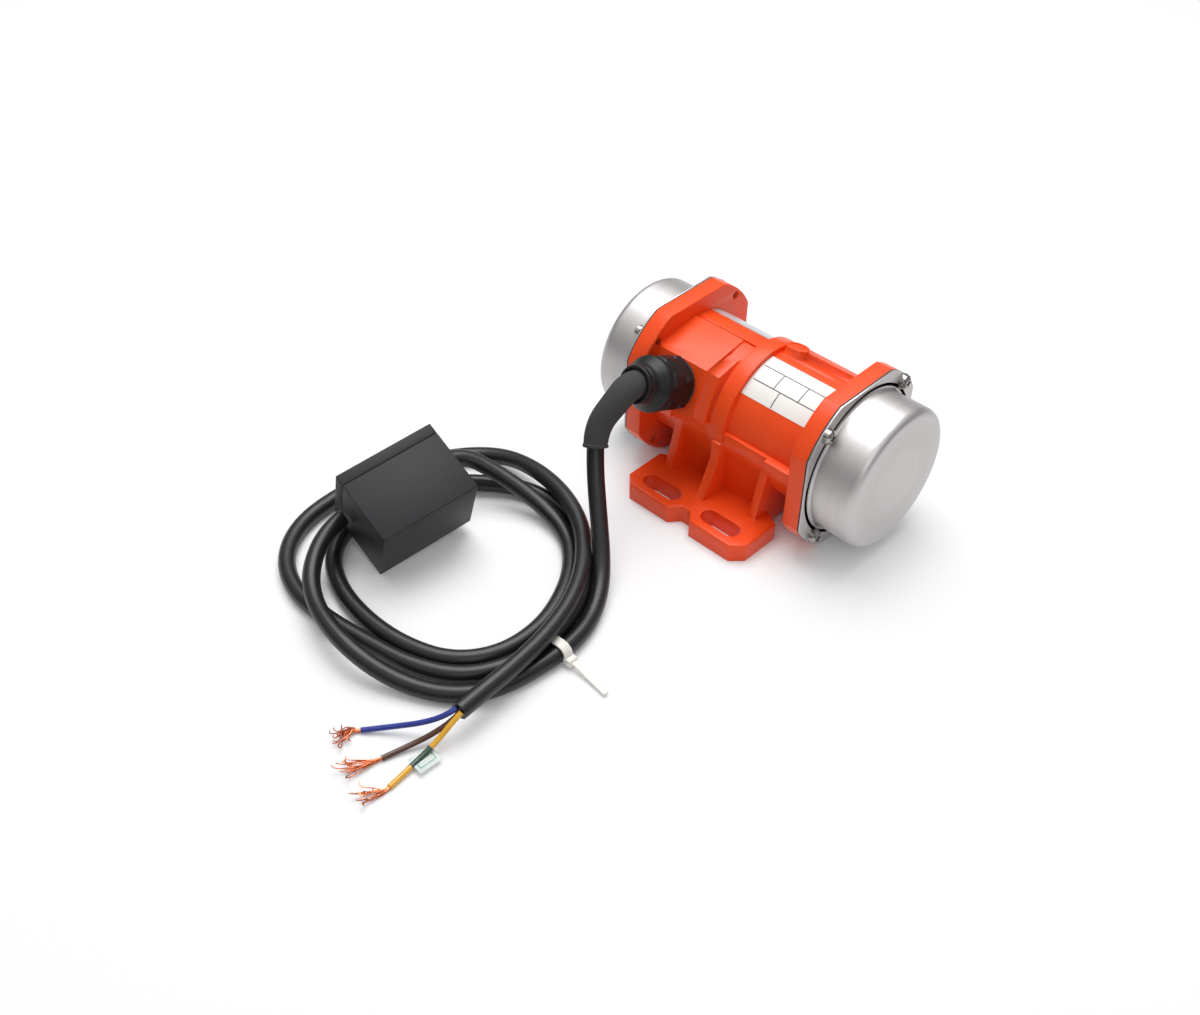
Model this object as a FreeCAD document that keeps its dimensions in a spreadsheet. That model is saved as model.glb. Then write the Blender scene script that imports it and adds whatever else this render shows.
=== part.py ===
import FreeCAD, Part
import math
import os
import re

import Sketcher
from FreeCAD import Placement, Rotation, Vector

# Small external-rotor-weight vibration motor with its lead, capacitor box and mains tail.
# +X runs along the motor's shaft, -Y is the cable side, +Z is up.
# The origin is the centre of the four foot slots, on the mounting plane.
# All sizes are millimetres and degrees.

SIZES = {
    # casting
    "axis_height": 40.0,
    "casting_half_length": 52.6,
    "barrel_radius": 31.0,
    "bore_radius": 27.0,
    "flange_thick": 8.6,
    "flange_half_width": 39.0,
    "flange_half_height": 39.5,
    "flange_round": 43.8,
    "band_radius": 33.5,
    "band_left": -6.0,
    "band_right": 2.0,
    "plug_boss_radius": 5.6,
    "plug_boss_at": 7.6,
    "plug_boss_turn": 18.0,
    "plug_boss_top": 34.7,
    "top_rib_width": 6.0,
    "top_rib_turn": 24.0,
    "top_rib_top": 34.0,
    "pad_left": -44.0,
    "pad_right": -14.6,
    "pad_step": -8.6,
    "pad_step_drop": 1.8,
    "pad_face": 36.8,
    "pad_tilt": 26.0,
    "pad_crest": 32.0,
    "ledge_out": 35.4,
    "ledge_middle_out": 32.8,
    "ledge_top": 4.0,
    "ledge_bottom": -2.5,
    "groove_width": 1.6,
    "groove_deep": 1.4,
    # pedestal and feet
    "wall_out": 28.4,
    "wall_half_length": 28.0,
    "lug_half_length": 36.4,
    "lug_out": 59.0,
    "lug_thick": 9.5,
    "lug_edge_round": 1.2,
    "flange_edge_round": 0.8,
    "lug_chamfer": 5.6,
    "lug_inner_out": 32.5,
    "notch_mouth": 6.7,
    "notch_floor": 2.4,
    "notch_deep": 5.3,
    "slot_pitch_along": 36.0,
    "slot_pitch_across": 100.0,
    "slot_width": 9.0,
    "slot_length": 22.0,
    "foot_relief": 1.5,
    "side_rib_thick": 4.2,
    "side_rib_foot": 37.6,
    "side_rib_head": 31.6,
    "middle_rib_thick": 4.6,
    "middle_rib_foot": 44.4,
    "middle_rib_head": 35.4,
    # end covers, gaskets and their screws
    "gasket_thick": 0.6,
    "steel_thick": 0.8,
    "cup_radius": 35.0,
    "cup_end": 76.5,
    "cup_rim_round": 4.2,
    "cup_flare": 1.4,
    "screw_across": 27.9,
    "screw_up": 29.2,
    "screw_radius": 2.0,
    "screw_head_radius": 3.5,
    "screw_head_high": 2.6,
    "screw_grip": 7.0,
    "washer_radius": 3.8,
    "washer_thick": 0.8,
    # end shields and bearings
    "shield_radius": 31.8,
    "shield_thick": 6.6,
    "shield_hub_radius": 17.0,
    "shield_hub_inside": 40.0,
    "bearing_outer_radius": 13.0,
    "bearing_bore_radius": 5.0,
    "bearing_width": 8.0,
    "bearing_race_inside": 10.7,
    "bearing_inner_race_out": 7.4,
    "seal_thick": 0.7,
    "washer_spring_thick": 0.4,
    # stator and rotor
    "stack_half_length": 20.0,
    "stator_bore_radius": 16.0,
    "stator_slot_centre": 20.8,
    "stator_slot_radius": 2.7,
    "slot_mouth": 1.4,
    "coil_wire_radius": 2.5,
    "end_turn_length": 8.0,
    "end_turn_inside": 18.0,
    "end_turn_outside": 24.5,
    "air_gap": 0.3,
    "rotor_bar_centre": 12.6,
    "rotor_bar_radius": 1.5,
    "end_ring_inside": 9.5,
    "end_ring_length": 4.0,
    "shaft_core_radius": 6.2,
    "shaft_nose_radius": 4.5,
    "shaft_end": 73.0,
    # eccentric weights
    "weight_radius": 29.0,
    "weight_hub_radius": 9.5,
    "weight_thick": 6.0,
    "fixed_weight_at": 56.2,
    "weight_gap": 0.5,
    "key_width": 2.4,
    "key_high": 2.4,
    "clamp_bolt_radius": 1.9,
    "clamp_bolt_length": 15.0,
    "clamp_bolt_drop": 15.0,
    "ring_thick": 0.8,
    "ring_radius": 6.6,
    # cable gland
    "gland_at": -29.6,
    "gland_hole_radius": 8.1,
    "gland_thread_length": 9.0,
    "gland_seal_radius": 12.4,
    "gland_seal_thick": 1.0,
    "gland_hex_across": 24.0,
    "gland_hex_thick": 6.0,
    "nut_radius": 13.4,
    "nut_skirt_length": 11.0,
    "nut_shoulder_length": 4.5,
    "nut_shoulder_radius": 9.9,
    "nut_length": 23.0,
    "nut_mouth_radius": 7.4,
    "nut_lip": 0.9,
    "sleeve_radius": 6.4,
    "cable_radius": 4.0,
    # capacitor box
    "box_length": 50.0,
    "box_width": 37.6,
    "box_height": 36.0,
    "box_lid": 5.6,
    "box_wall": 2.0,
    "box_corner": 1.5,
    "box_x": -89.0,
    "box_y": -150.5,
    "box_z": 9.9,
    "capacitor_length": 40.0,
    "capacitor_width": 16.0,
    "capacitor_height": 26.0,
    # cable tie and cores
    "tie_thick": 1.2,
    "tie_width": 4.6,
    "tie_left": -1.2,
    "tie_span": 25.2,
    "tie_front": -157.2,
    "tie_high": 9.6,
    "core_radius": 1.2,
    "tag_length": 13.0,
    "tag_width": 8.0,
    "tag_thick": 0.5,
    "tag_rise": 3.0,
    # fits
    "slip": 0.05,
    "seat": 0.02,
    "soft_gap": 0.3,
}

BOX_TURN = Rotation(Vector(1, 0, 0), 9.0) * Rotation(Vector(0, 1, 0), 21.7) * Rotation(Vector(0, 0, 1), 82.2)
STATOR_SLOTS = 12
ROTOR_BARS = 10

# Routes of the free cords: hand-placed points, each turn rounded by the tube builder.
MOTOR_CABLE = [
    (-29.6, -84.4, 49.3), (-25.9, -88.3, 41.2), (-13.4, -98.6, 24.2), (0.6, -110.6, 9.4),
    (11.6, -126.0, 4.2), (18.2, -142.0, 4.2), (19.0, -151.0, 4.2),
]
MAINS_TAIL = [(16.2, -180.0, 12.6), (17.9, -196.0, 12.6), (18.4, -211.6, 12.6)]
CORE_ROUTES = {
    "core_blue": [(16.9, -211.9, 13.3), (16.6, -216.0, 12.6), (9.6, -222.6, 8.4), (0.4, -229.4, 3.4), (-9.8, -240.2, 1.4)],
    "core_brown": [(18.3, -211.9, 11.0), (18.3, -216.0, 9.6), (14.6, -223.4, 5.4), (10.4, -232.0, 1.8), (7.2, -243.4, 1.3)],
    "core_yellow": [(19.9, -211.9, 13.2), (19.9, -216.0, 11.8), (18.9, -223.0, 6.4), (18.6, -233.6, 1.9), (20.2, -250.4, 1.3)],
}
COIL_HEIGHT = 16.6
COIL_OUTLINE = [
    ((-80.0, -80.2), (-46.0, -84.6)), ((-14.0, -103.6), (4.2, -122.6)), ((14.9, -151.0), None),
    ((23.1, -151.0), (8.4, -205.0)), ((-41.0, -224.8), (-72.0, -219.9)),
    ((-98.0, -214.4), (-122.5, -194.0)), ((-131.3, -162.0), (-126.5, -124.0)),
    ((-113.0, -96.0), (-99.0, -84.6)),
]
COIL_EYE = (-53.0, -149.4, 52.6, 46.8)

doc = FreeCAD.newDocument("vibration_motor")
sheet = doc.addObject("Spreadsheet::Sheet", "Sizes")
nodes = []


def fill_sheet():
    """Write every size in the sheet, one row each, under its own alias."""
    for row, (alias, size) in enumerate(SIZES.items(), start=1):
        sheet.set(f"A{row}", alias)
        sheet.set(f"B{row}", str(size))
        sheet.setAlias(f"B{row}", alias)
    doc.recompute()


def tied(expression):
    """The expression with each size's name pointing at its cell."""
    return re.sub(r"[a-z_]+", lambda found: "Sizes." + found[0] if found[0] in SIZES else found[0], expression)


def value(expression):
    """The number that an expression of the sheet's sizes gives now."""
    return float(sheet.evalExpression(tied(expression)))


def bind(item, properties):
    """Bind properties of an object to expressions."""
    for name, expression in properties.items():
        item.setExpression(name, tied(expression))


def place(item, at, turn=None):
    """Put an object at three expressions, turned about an axis by a fourth."""
    if turn:
        item.Placement = Placement(Vector(), Rotation(Vector(*turn[0]), value(turn[1])))
        bind(item, {"Placement.Rotation.Angle": turn[1]})
    bind(item, {f"Placement.Base.{axis}": part for axis, part in zip("xyz", at)})
    return item


def add(kind, label):
    """A new document object with its label."""
    item = doc.addObject(kind, label)
    item.Label = label
    return item


def block(label, size, at, turn=None):
    """A box from its lowest corner."""
    item = add("Part::Box", label)
    bind(item, dict(zip(("Length", "Width", "Height"), size)))
    return place(item, at, turn)


def rod(label, radius, length, at, turn=((0, 1, 0), "90")):
    """A cylinder, along +X unless it is turned another way."""
    item = add("Part::Cylinder", label)
    bind(item, {"Radius": radius, "Height": length})
    return place(item, at, turn)


def ring(label, outer, inner, length, at, turn=((0, 1, 0), "90")):
    """A flat ring or a bush."""
    return cut(label, rod(label + "_rim", outer, length, at, turn), rod(label + "_hole", inner, length, at, turn))


def fuse(label, *shapes):
    """One solid from several."""
    item = add("Part::MultiFuse", label)
    item.Shapes = list(shapes)
    return item


def cut(label, base, *tools):
    """The base with the tools taken out."""
    item = add("Part::Cut", label)
    item.Base = base
    item.Tool = tools[0] if len(tools) == 1 else fuse(label + "_tools", *tools)
    return item


def common(label, *shapes):
    """What the shapes share."""
    item = add("Part::MultiCommon", label)
    item.Shapes = list(shapes)
    return item


def group(label, *shapes):
    """Separate solids kept as one sub-part."""
    item = add("Part::Compound", label)
    item.Links = list(shapes)
    return item


def mirrored(label, source, normal):
    """A copy across a plane through the shaft's line, or through the middle of the motor."""
    item = add("Part::Mirroring", label)
    item.Source = source
    item.Normal = Vector(*normal)
    bind(item, {"Base.z": "axis_height"})
    return item


def both_sides(label, source, normal):
    """A shape and its mirror copy, as two solids."""
    return group(label, source, mirrored(label + "_copy", source, normal))


def softened(label, base, radius, chosen):
    """A copy of a shape with the chosen straight edges rounded."""
    doc.recompute()
    item = add("Part::Fillet", label)
    item.Base = base
    size = value(radius)
    item.Edges = [(index, size, size) for index, edge in enumerate(base.Shape.Edges, start=1) if chosen(edge)]
    return item


def node(item):
    """Keep an object as a sub-part that is written out."""
    nodes.append(item)
    return item


def body(label, at=("0", "0", "axis_height")):
    """A PartDesign body placed by expressions."""
    return place(add("PartDesign::Body", label), at)


def sketch_on(owner, name, role):
    """A sketch on one of a body's own origin planes."""
    sketch = owner.newObject("Sketcher::SketchObject", name)
    plane = next(feature for feature in owner.Origin.OriginFeatures if feature.Role == role)
    sketch.AttachmentSupport = [(plane, "")]
    sketch.MapMode = "FlatFace"
    return sketch


def fix_point(sketch, rules, spot, at):
    """Rules that hold a point of a sketch at two expressions."""
    for kind, axis, expression in (("DistanceX", -2, at[0]), ("DistanceY", -1, at[1])):
        if expression == "0":
            rules.append((Sketcher.Constraint("PointOnObject", *spot, axis), None))
        else:
            rules.append((Sketcher.Constraint(kind, -1, 1, *spot, value(expression)), expression))


def apply_rules(sketch, rules):
    """Add the rules to a sketch and bind their sizes."""
    sketch.addConstraint([rule for rule, _ in rules])
    first = sketch.ConstraintCount - len(rules)
    for index, (_, expression) in enumerate(rules, start=first):
        if expression:
            sketch.setExpression(f"Constraints[{index}]", tied(expression))


def arc_between(start, end, radius, turn):
    """The short arc from start to end; turn is 1 for anticlockwise and -1 for clockwise."""
    chord = end - start
    rise = math.sqrt(max(radius ** 2 - (chord.Length / 2) ** 2, 0.0))
    side = Vector(-chord.y, chord.x, 0).normalize() * turn
    centre = (start + end) / 2 + side * rise
    first, last = (start, end) if turn > 0 else (end, start)
    angles = [math.atan2(point.y - centre.y, point.x - centre.x) for point in (first, last)]
    return Part.ArcOfCircle(Part.Circle(centre, Vector(0, 0, 1), radius), *angles)


def outline(sketch, corners):
    """A closed outline. A corner is (x, y), or (x, y, radius, turn) where an arc starts."""
    spots = [Vector(value(corner[0]), value(corner[1]), 0) for corner in corners]
    rules = []
    sides = []
    for index, corner in enumerate(corners):
        start, end = spots[index], spots[(index + 1) % len(spots)]
        if len(corner) == 2:
            side = sketch.addGeometry(Part.LineSegment(start, end), False)
            sides.append((side, 1, 2))
            continue
        side = sketch.addGeometry(arc_between(start, end, value(corner[2]), corner[3]), False)
        sides.append((side, 1, 2) if corner[3] > 0 else (side, 2, 1))
        rules.append((Sketcher.Constraint("Radius", side, value(corner[2])), corner[2]))
    for index, (side, first, last) in enumerate(sides):
        after, after_first, _ = sides[(index + 1) % len(sides)]
        rules.append((Sketcher.Constraint("Coincident", side, last, after, after_first), None))
        fix_point(sketch, rules, (side, first), corners[index][:2])
    apply_rules(sketch, rules)


def turned(label, corners, at=("0", "0", "axis_height"), turn=None):
    """A body turned about its own X axis from a half profile of (x, radius) corners.

    With a turn it is made upright instead, from (radius, height) corners, and then tilted.
    """
    owner = place(add("PartDesign::Body", label), at, turn)
    profile = sketch_on(owner, label + "_profile", "XZ_Plane" if turn else "XY_Plane")
    outline(profile, corners)
    revolution = owner.newObject("PartDesign::Revolution", label + "_turn")
    revolution.Profile = profile
    revolution.ReferenceAxis = (profile, ["V_Axis" if turn else "H_Axis"])
    revolution.Angle = 360
    return owner


def plate(label, corners, thick, role, at=("0", "0", "axis_height")):
    """A body padded from an outline on one of its origin planes."""
    owner = body(label, at)
    profile = sketch_on(owner, label + "_outline", role)
    outline(profile, corners)
    pad = owner.newObject("PartDesign::Pad", label + "_pad")
    pad.Profile = profile
    bind(pad, {"Length": thick})
    return owner


def flange_blank(label, thick, start):
    """The flange's outline: a rectangle whose corners lie on a round about the shaft."""
    slab = block(label + "_slab", (thick, "2 * flange_half_width", "2 * flange_half_height"),
                 (start, "-flange_half_width", "axis_height - flange_half_height"))
    disc = rod(label + "_disc", "flange_round", thick, (start, "0", "axis_height"))
    return common(label, slab, disc)


def corner_rods(label, radius, length, start):
    """Four rods along X at the cover screws' places."""
    corners = [(side, level) for side in ("", "-") for level in ("+", "-")]
    rods = [rod(f"{label}_{index}", radius, length,
                (start, f"{side}screw_across", f"axis_height {level} screw_up"))
            for index, (side, level) in enumerate(corners)]
    return fuse(label, *rods)


def radial(label, radius, length, x, start, turn):
    """A rod that points out from the shaft's line, tilted from straight up towards +Y."""
    return rod(label, radius, length, (x, f"({start}) * sin({turn})", f"axis_height + ({start}) * cos({turn})"),
               ((1, 0, 0), f"-({turn})"))


def make_casting():
    """The die-cast housing: barrel, end flanges, terminal pad, ledges, pedestal and feet."""
    inner_face = "(casting_half_length - flange_thick)"
    solids = [
        rod("casting_barrel", "barrel_radius", "2 * casting_half_length",
            ("-casting_half_length", "0", "axis_height")),
        *make_flanges(inner_face),
        rod("casting_band", "band_radius", "band_right - band_left", ("band_left", "0", "axis_height")),
        radial("casting_plug_boss", "plug_boss_radius", "plug_boss_top - bore_radius - 1", "plug_boss_at",
               "bore_radius + 1", "plug_boss_turn"),
        block("casting_top_rib", (inner_face, "top_rib_width", "top_rib_top - bore_radius - 1"),
              ("0", "(bore_radius + 1) * sin(top_rib_turn) - top_rib_width / 2 * cos(top_rib_turn)",
               "axis_height + (bore_radius + 1) * cos(top_rib_turn) + top_rib_width / 2 * sin(top_rib_turn)"),
              ((1, 0, 0), "-top_rib_turn")),
        make_terminal_pad(),
        make_ledges(inner_face),
        make_feet(),
    ]
    holes = [
        rod("casting_bore", "bore_radius", "2 * casting_half_length + 2",
            ("-casting_half_length - 1", "0", "axis_height")),
        rod("shield_seat_right", "shield_radius + seat", "shield_thick + 1",
            ("casting_half_length - shield_thick", "0", "axis_height")),
        rod("shield_seat_left", "shield_radius + seat", "shield_thick + 1",
            ("-casting_half_length - 1", "0", "axis_height")),
        corner_rods("screw_holes_right", "screw_radius + slip", "flange_thick + 2", inner_face + " - 1"),
        corner_rods("screw_holes_left", "screw_radius + slip", "flange_thick + 2", "-casting_half_length - 1"),
        rod("gland_hole", "gland_hole_radius", "pad_face",
            ("gland_at", "-bore_radius / 2 * cos(pad_tilt)", "axis_height + bore_radius / 2 * sin(pad_tilt)"),
            ((1, 0, 0), "90 - pad_tilt")),
        block("top_groove", (f"{inner_face} + pad_step + 1", "groove_width", "2 * groove_deep"),
              (f"-{inner_face}", "-groove_width", "axis_height + pad_crest - groove_deep - 0.6")),
        radial("plug_recess", "plug_boss_radius - 1.2", "2", "plug_boss_at", "plug_boss_top - 0.3", "plug_boss_turn"),
    ]
    return node(cut("housing", fuse("casting_solid", *solids), *holes))


def make_flanges(inner_face):
    """The two end flanges, with their edges rounded on the side of the barrel."""
    inner = value(inner_face)
    blanks = [flange_blank("casting_flange_right", "flange_thick", inner_face),
              flange_blank("casting_flange_left", "flange_thick", "-casting_half_length")]
    return [softened(blank.Label + "_soft", blank, "flange_edge_round", lambda edge: all(
        abs(abs(point.Point.x) - inner) < 0.01 for point in edge.Vertexes)) for blank in blanks]


def make_terminal_pad():
    """The raised pad on the cable side, with its tilted face for the gland and a lower step beside it."""
    face_y = "-pad_face * cos(pad_tilt)"
    face_z = "pad_face * sin(pad_tilt)"
    reach = "12.8"
    blocks = []
    for name, start, end, drop in (("main", "pad_left", "pad_right", "0"),
                                   ("step", "pad_right", "pad_step", "pad_step_drop")):
        corners = [
            ("-1.0", f"pad_crest - {drop} * 0.5"),
            (f"{face_y} + {reach} * sin(pad_tilt) + 9", f"{face_z} + {reach} * cos(pad_tilt) + 1.6 - {drop}"),
            (f"{face_y} + {reach} * sin(pad_tilt) + {drop}", f"{face_z} + {reach} * cos(pad_tilt) - {drop}"),
            (f"{face_y} - {reach} * sin(pad_tilt) + 2.4 + {drop}", f"{face_z} - {reach} * cos(pad_tilt)"),
            ("-bore_radius", "-2.0"),
            ("-1.0", "20.0"),
        ]
        blocks.append(plate(f"casting_terminal_{name}", corners, f"{end} - ({start})", "YZ_Plane",
                            (start, "0", "axis_height")))
    return fuse("casting_terminal_pad", *blocks)


def make_ledges(inner_face):
    """The rail along each side of the barrel: bold at its ends, and flared into the pedestal between them."""
    ends = [block(f"casting_ledge_{name}", (f"{inner_face} - wall_half_length", "2 * ledge_out",
                                            "ledge_top - ledge_bottom"),
                  (start, "-ledge_out", "axis_height + ledge_bottom"))
            for name, start in (("left", f"-{inner_face}"), ("right", "wall_half_length"))]
    near = plate("casting_ledge_near", [
        ("-1.0", "ledge_top"), ("-ledge_middle_out", "ledge_top"), ("-ledge_middle_out", "ledge_bottom"),
        ("-wall_out", "ledge_bottom - 9.0"), ("-1.0", "ledge_bottom - 9.0"),
    ], "2 * wall_half_length", "YZ_Plane", ("-wall_half_length", "0", "axis_height"))
    return fuse("casting_ledges", near, mirrored("casting_ledge_far", near, (0, 1, 0)), *ends)


def make_feet():
    """The pedestal's walls, its ribs and the two slotted lugs."""
    lug = plate("foot_lug_near", [
        ("-wall_half_length", "-wall_out"), ("-lug_half_length", "-lug_inner_out"),
        ("-lug_half_length", "-(lug_out - lug_chamfer)"), ("-(lug_half_length - lug_chamfer)", "-lug_out"),
        ("-notch_mouth", "-lug_out"), ("-notch_floor", "-(lug_out - notch_deep)"),
        ("notch_floor", "-(lug_out - notch_deep)"), ("notch_mouth", "-lug_out"),
        ("lug_half_length - lug_chamfer", "-lug_out"), ("lug_half_length", "-(lug_out - lug_chamfer)"),
        ("lug_half_length", "-lug_inner_out"), ("wall_half_length", "-wall_out"),
        ("wall_half_length", "-wall_out + 6"), ("-wall_half_length", "-wall_out + 6"),
    ], "lug_thick", "XY_Plane", ("0", "0", "0"))
    slots = [slot(f"foot_slot_{side}", sign) for side, sign in (("left", "-"), ("right", "+"))]
    middle_rib = plate("foot_middle_rib", [
        ("-wall_out + 4", "lug_thick - 1"), ("-middle_rib_foot", "lug_thick - 1"),
        ("-middle_rib_head", "axis_height + ledge_bottom - 9"), ("-middle_rib_head", "axis_height + ledge_bottom + 1"),
        ("-wall_out + 4", "axis_height + ledge_bottom + 1"),
    ], "middle_rib_thick", "YZ_Plane", ("-middle_rib_thick / 2", "0", "0"))
    side_ribs = [
        plate(f"foot_side_rib_{name}", [
            ("-wall_out + 4", "lug_thick - 1"), ("-side_rib_foot", "lug_thick - 1"),
            ("-side_rib_head", "axis_height + ledge_bottom - 6"), ("-side_rib_head", "axis_height + ledge_bottom + 1"),
            ("-wall_out + 4", "axis_height + ledge_bottom + 1"),
        ], "side_rib_thick", "YZ_Plane", (start, "0", "0"))
        for name, start in (("left", "-wall_half_length"), ("right", "wall_half_length - side_rib_thick"))
    ]
    top, reach = value("lug_thick"), -value("lug_inner_out")
    soft_lug = softened("foot_lug_soft", lug, "lug_edge_round", lambda edge: all(
        abs(point.Point.z - top) < 0.01 and point.Point.y < reach + 0.01 for point in edge.Vertexes))
    near_side = cut("foot_near", fuse("foot_near_solid", soft_lug, middle_rib, *side_ribs), *slots)
    far_side = mirrored("foot_far", near_side, (0, 1, 0))
    column = block("foot_column", ("2 * wall_half_length", "2 * wall_out", "axis_height"),
                   ("-wall_half_length", "-wall_out", "foot_relief"))
    return fuse("foot_pedestal", near_side, far_side, column)


def slot(label, sign):
    """One slotted hole of the near foot, along X."""
    centre_x = f"{sign}slot_pitch_along / 2"
    straight = "(slot_length - slot_width)"
    across = "-slot_pitch_across / 2"
    upright = ((0, 0, 1), "0")
    return fuse(
        label,
        block(label + "_middle", (straight, "slot_width", "lug_thick + 2"),
              (f"{centre_x} - {straight} / 2", f"{across} - slot_width / 2", "-1"), upright),
        rod(label + "_start", "slot_width / 2", "lug_thick + 2", (f"{centre_x} - {straight} / 2", across, "-1"), upright),
        rod(label + "_end", "slot_width / 2", "lug_thick + 2", (f"{centre_x} + {straight} / 2", across, "-1"), upright),
    )


def make_covers():
    """The two deep-drawn steel covers with their gaskets, screws and washers."""
    plate_start = "casting_half_length + gasket_thick"
    plate_end = "(casting_half_length + gasket_thick + steel_thick)"
    flare_out = "cup_radius + cup_flare"
    rim_x = "cup_end - cup_rim_round"
    rim_r = "cup_radius - cup_rim_round"
    inner_rim = "(cup_rim_round - steel_thick)"
    cup = turned("cover_cup", [
        (plate_end, flare_out, "cup_flare", 1),
        (f"{plate_end} + cup_flare", "cup_radius"),
        (rim_x, "cup_radius", "cup_rim_round", -1),
        ("cup_end", rim_r),
        ("cup_end", "0"),
        ("cup_end - steel_thick", "0"),
        ("cup_end - steel_thick", f"{rim_r} + {inner_rim} * 0.4"),
        (f"{rim_x} + {inner_rim} * 0.4", "cup_radius - steel_thick"),
        (f"{plate_start} + steel_thick", "cup_radius - steel_thick"),
        (plate_start, "cup_radius"),
        (plate_start, flare_out),
    ])
    sheet_plate = cut("cover_plate", flange_blank("cover_plate_blank", "steel_thick", plate_start),
                      rod("cover_mouth", flare_out, "steel_thick + 2", (f"{plate_start} - 1", "0", "axis_height")),
                      corner_rods("cover_screw_holes", "screw_radius + 2 * slip", "steel_thick + 2",
                                  f"{plate_start} - 1"))
    right = node(fuse("end_cover_right", cup, sheet_plate))
    node(mirrored("end_cover_left", right, (1, 0, 0)))
    gasket = node(cut("gasket_right", flange_blank("gasket_blank", "gasket_thick", "casting_half_length"),
                      rod("gasket_mouth", "shield_radius + 1.6", "gasket_thick + 2",
                          ("casting_half_length - 1", "0", "axis_height")),
                      corner_rods("gasket_screw_holes", "screw_radius + 2 * slip", "gasket_thick + 2",
                                  "casting_half_length - 1")))
    node(mirrored("gasket_left", gasket, (1, 0, 0)))
    make_fasteners(plate_end)


def four_corners(label, source):
    """Eight copies of a solid: four corners at each end of the motor."""
    pair = both_sides(label + "_pair", source, (0, 1, 0))
    quad = both_sides(label + "_quad", pair, (0, 0, 1))
    return node(both_sides(label, quad, (1, 0, 0)))


def make_fasteners(plate_end):
    """Pan-head screws with a washer each, all alike."""
    at_y, at_z = "screw_across", "axis_height + screw_up"
    washer = ring("washer_one", "washer_radius", "screw_radius + slip", "washer_thick", (plate_end, at_y, at_z))
    four_corners("cover_washers", washer)
    head_start = f"{plate_end} + washer_thick"
    crown = "screw_head_high * 0.45"
    screw = turned("screw_blank", [
        (f"{head_start} - washer_thick - steel_thick - gasket_thick - screw_grip", "0"),
        (f"{head_start} - washer_thick - steel_thick - gasket_thick - screw_grip", "screw_radius"),
        (head_start, "screw_radius"),
        (head_start, "screw_head_radius"),
        (f"{head_start} + screw_head_high - {crown}", "screw_head_radius"),
        (f"{head_start} + screw_head_high", "screw_head_radius * 0.62"),
        (f"{head_start} + screw_head_high", "0"),
    ], ("0", at_y, at_z))
    recess = [
        block(f"screw_cross_{index}", ("screw_head_high", long_side, high_side),
              (f"{head_start} + screw_head_high * 0.4", f"{at_y} - ({long_side}) / 2", f"{at_z} - ({high_side}) / 2"))
        for index, (long_side, high_side) in enumerate((("3.6", "0.9"), ("0.9", "3.6")))
    ]
    four_corners("cover_screws", cut("screw_one", screw, *recess))


def make_shields_and_bearings():
    """Bearing shields in the casting's ends, and the sealed bearings that carry the shaft."""
    seat_start = "shield_hub_inside"
    pocket_end = "shield_hub_inside + bearing_width + washer_spring_thick"
    shield = node(turned("end_shield_right", [
        (seat_start, "bearing_outer_radius + seat"),
        (seat_start, "shield_hub_radius"),
        ("casting_half_length - shield_thick", "shield_hub_radius"),
        ("casting_half_length - shield_thick", "shield_radius"),
        ("casting_half_length", "shield_radius"),
        ("casting_half_length", "bearing_inner_race_out"),
        (pocket_end, "bearing_inner_race_out"),
        (pocket_end, "bearing_outer_radius + seat"),
    ]))
    node(mirrored("end_shield_left", shield, (1, 0, 0)))
    centre = ("0", "axis_height")
    spring = ring("spring_one", "bearing_outer_radius", "bearing_race_inside", "washer_spring_thick",
                  (f"{seat_start} + bearing_width", *centre))
    node(both_sides("preload_washers", spring, (1, 0, 0)))
    outer = ring("outer_race_one", "bearing_outer_radius", "bearing_race_inside", "bearing_width",
                 (seat_start, *centre))
    node(both_sides("bearing_outer_races", outer, (1, 0, 0)))
    seals = group("seal_pair", *[
        ring(f"seal_{name}", "bearing_race_inside", "bearing_inner_race_out + slip", "seal_thick", (start, *centre))
        for name, start in (("inside", seat_start), ("outside", f"{seat_start} + bearing_width - seal_thick"))
    ])
    node(both_sides("bearing_seals", seals, (1, 0, 0)))
    inner = ring("inner_race_one", "bearing_inner_race_out", "bearing_bore_radius", "bearing_width",
                 (seat_start, *centre))
    node(both_sides("bearing_inner_races", inner, (1, 0, 0)))


def around(label, count, maker):
    """Copies of a rod along the shaft, evenly spaced about it."""
    return fuse(label, *[maker(f"{label}_{index}", 360.0 * index / count) for index in range(count)])


def axial_rods(label, count, centre, radius, length, start):
    """Evenly spaced rods along X at one distance from the shaft's line."""
    return around(label, count, lambda name, angle: rod(
        name, radius, length, (start, f"({centre}) * sin({angle})", f"axis_height + ({centre}) * cos({angle})")))


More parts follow.
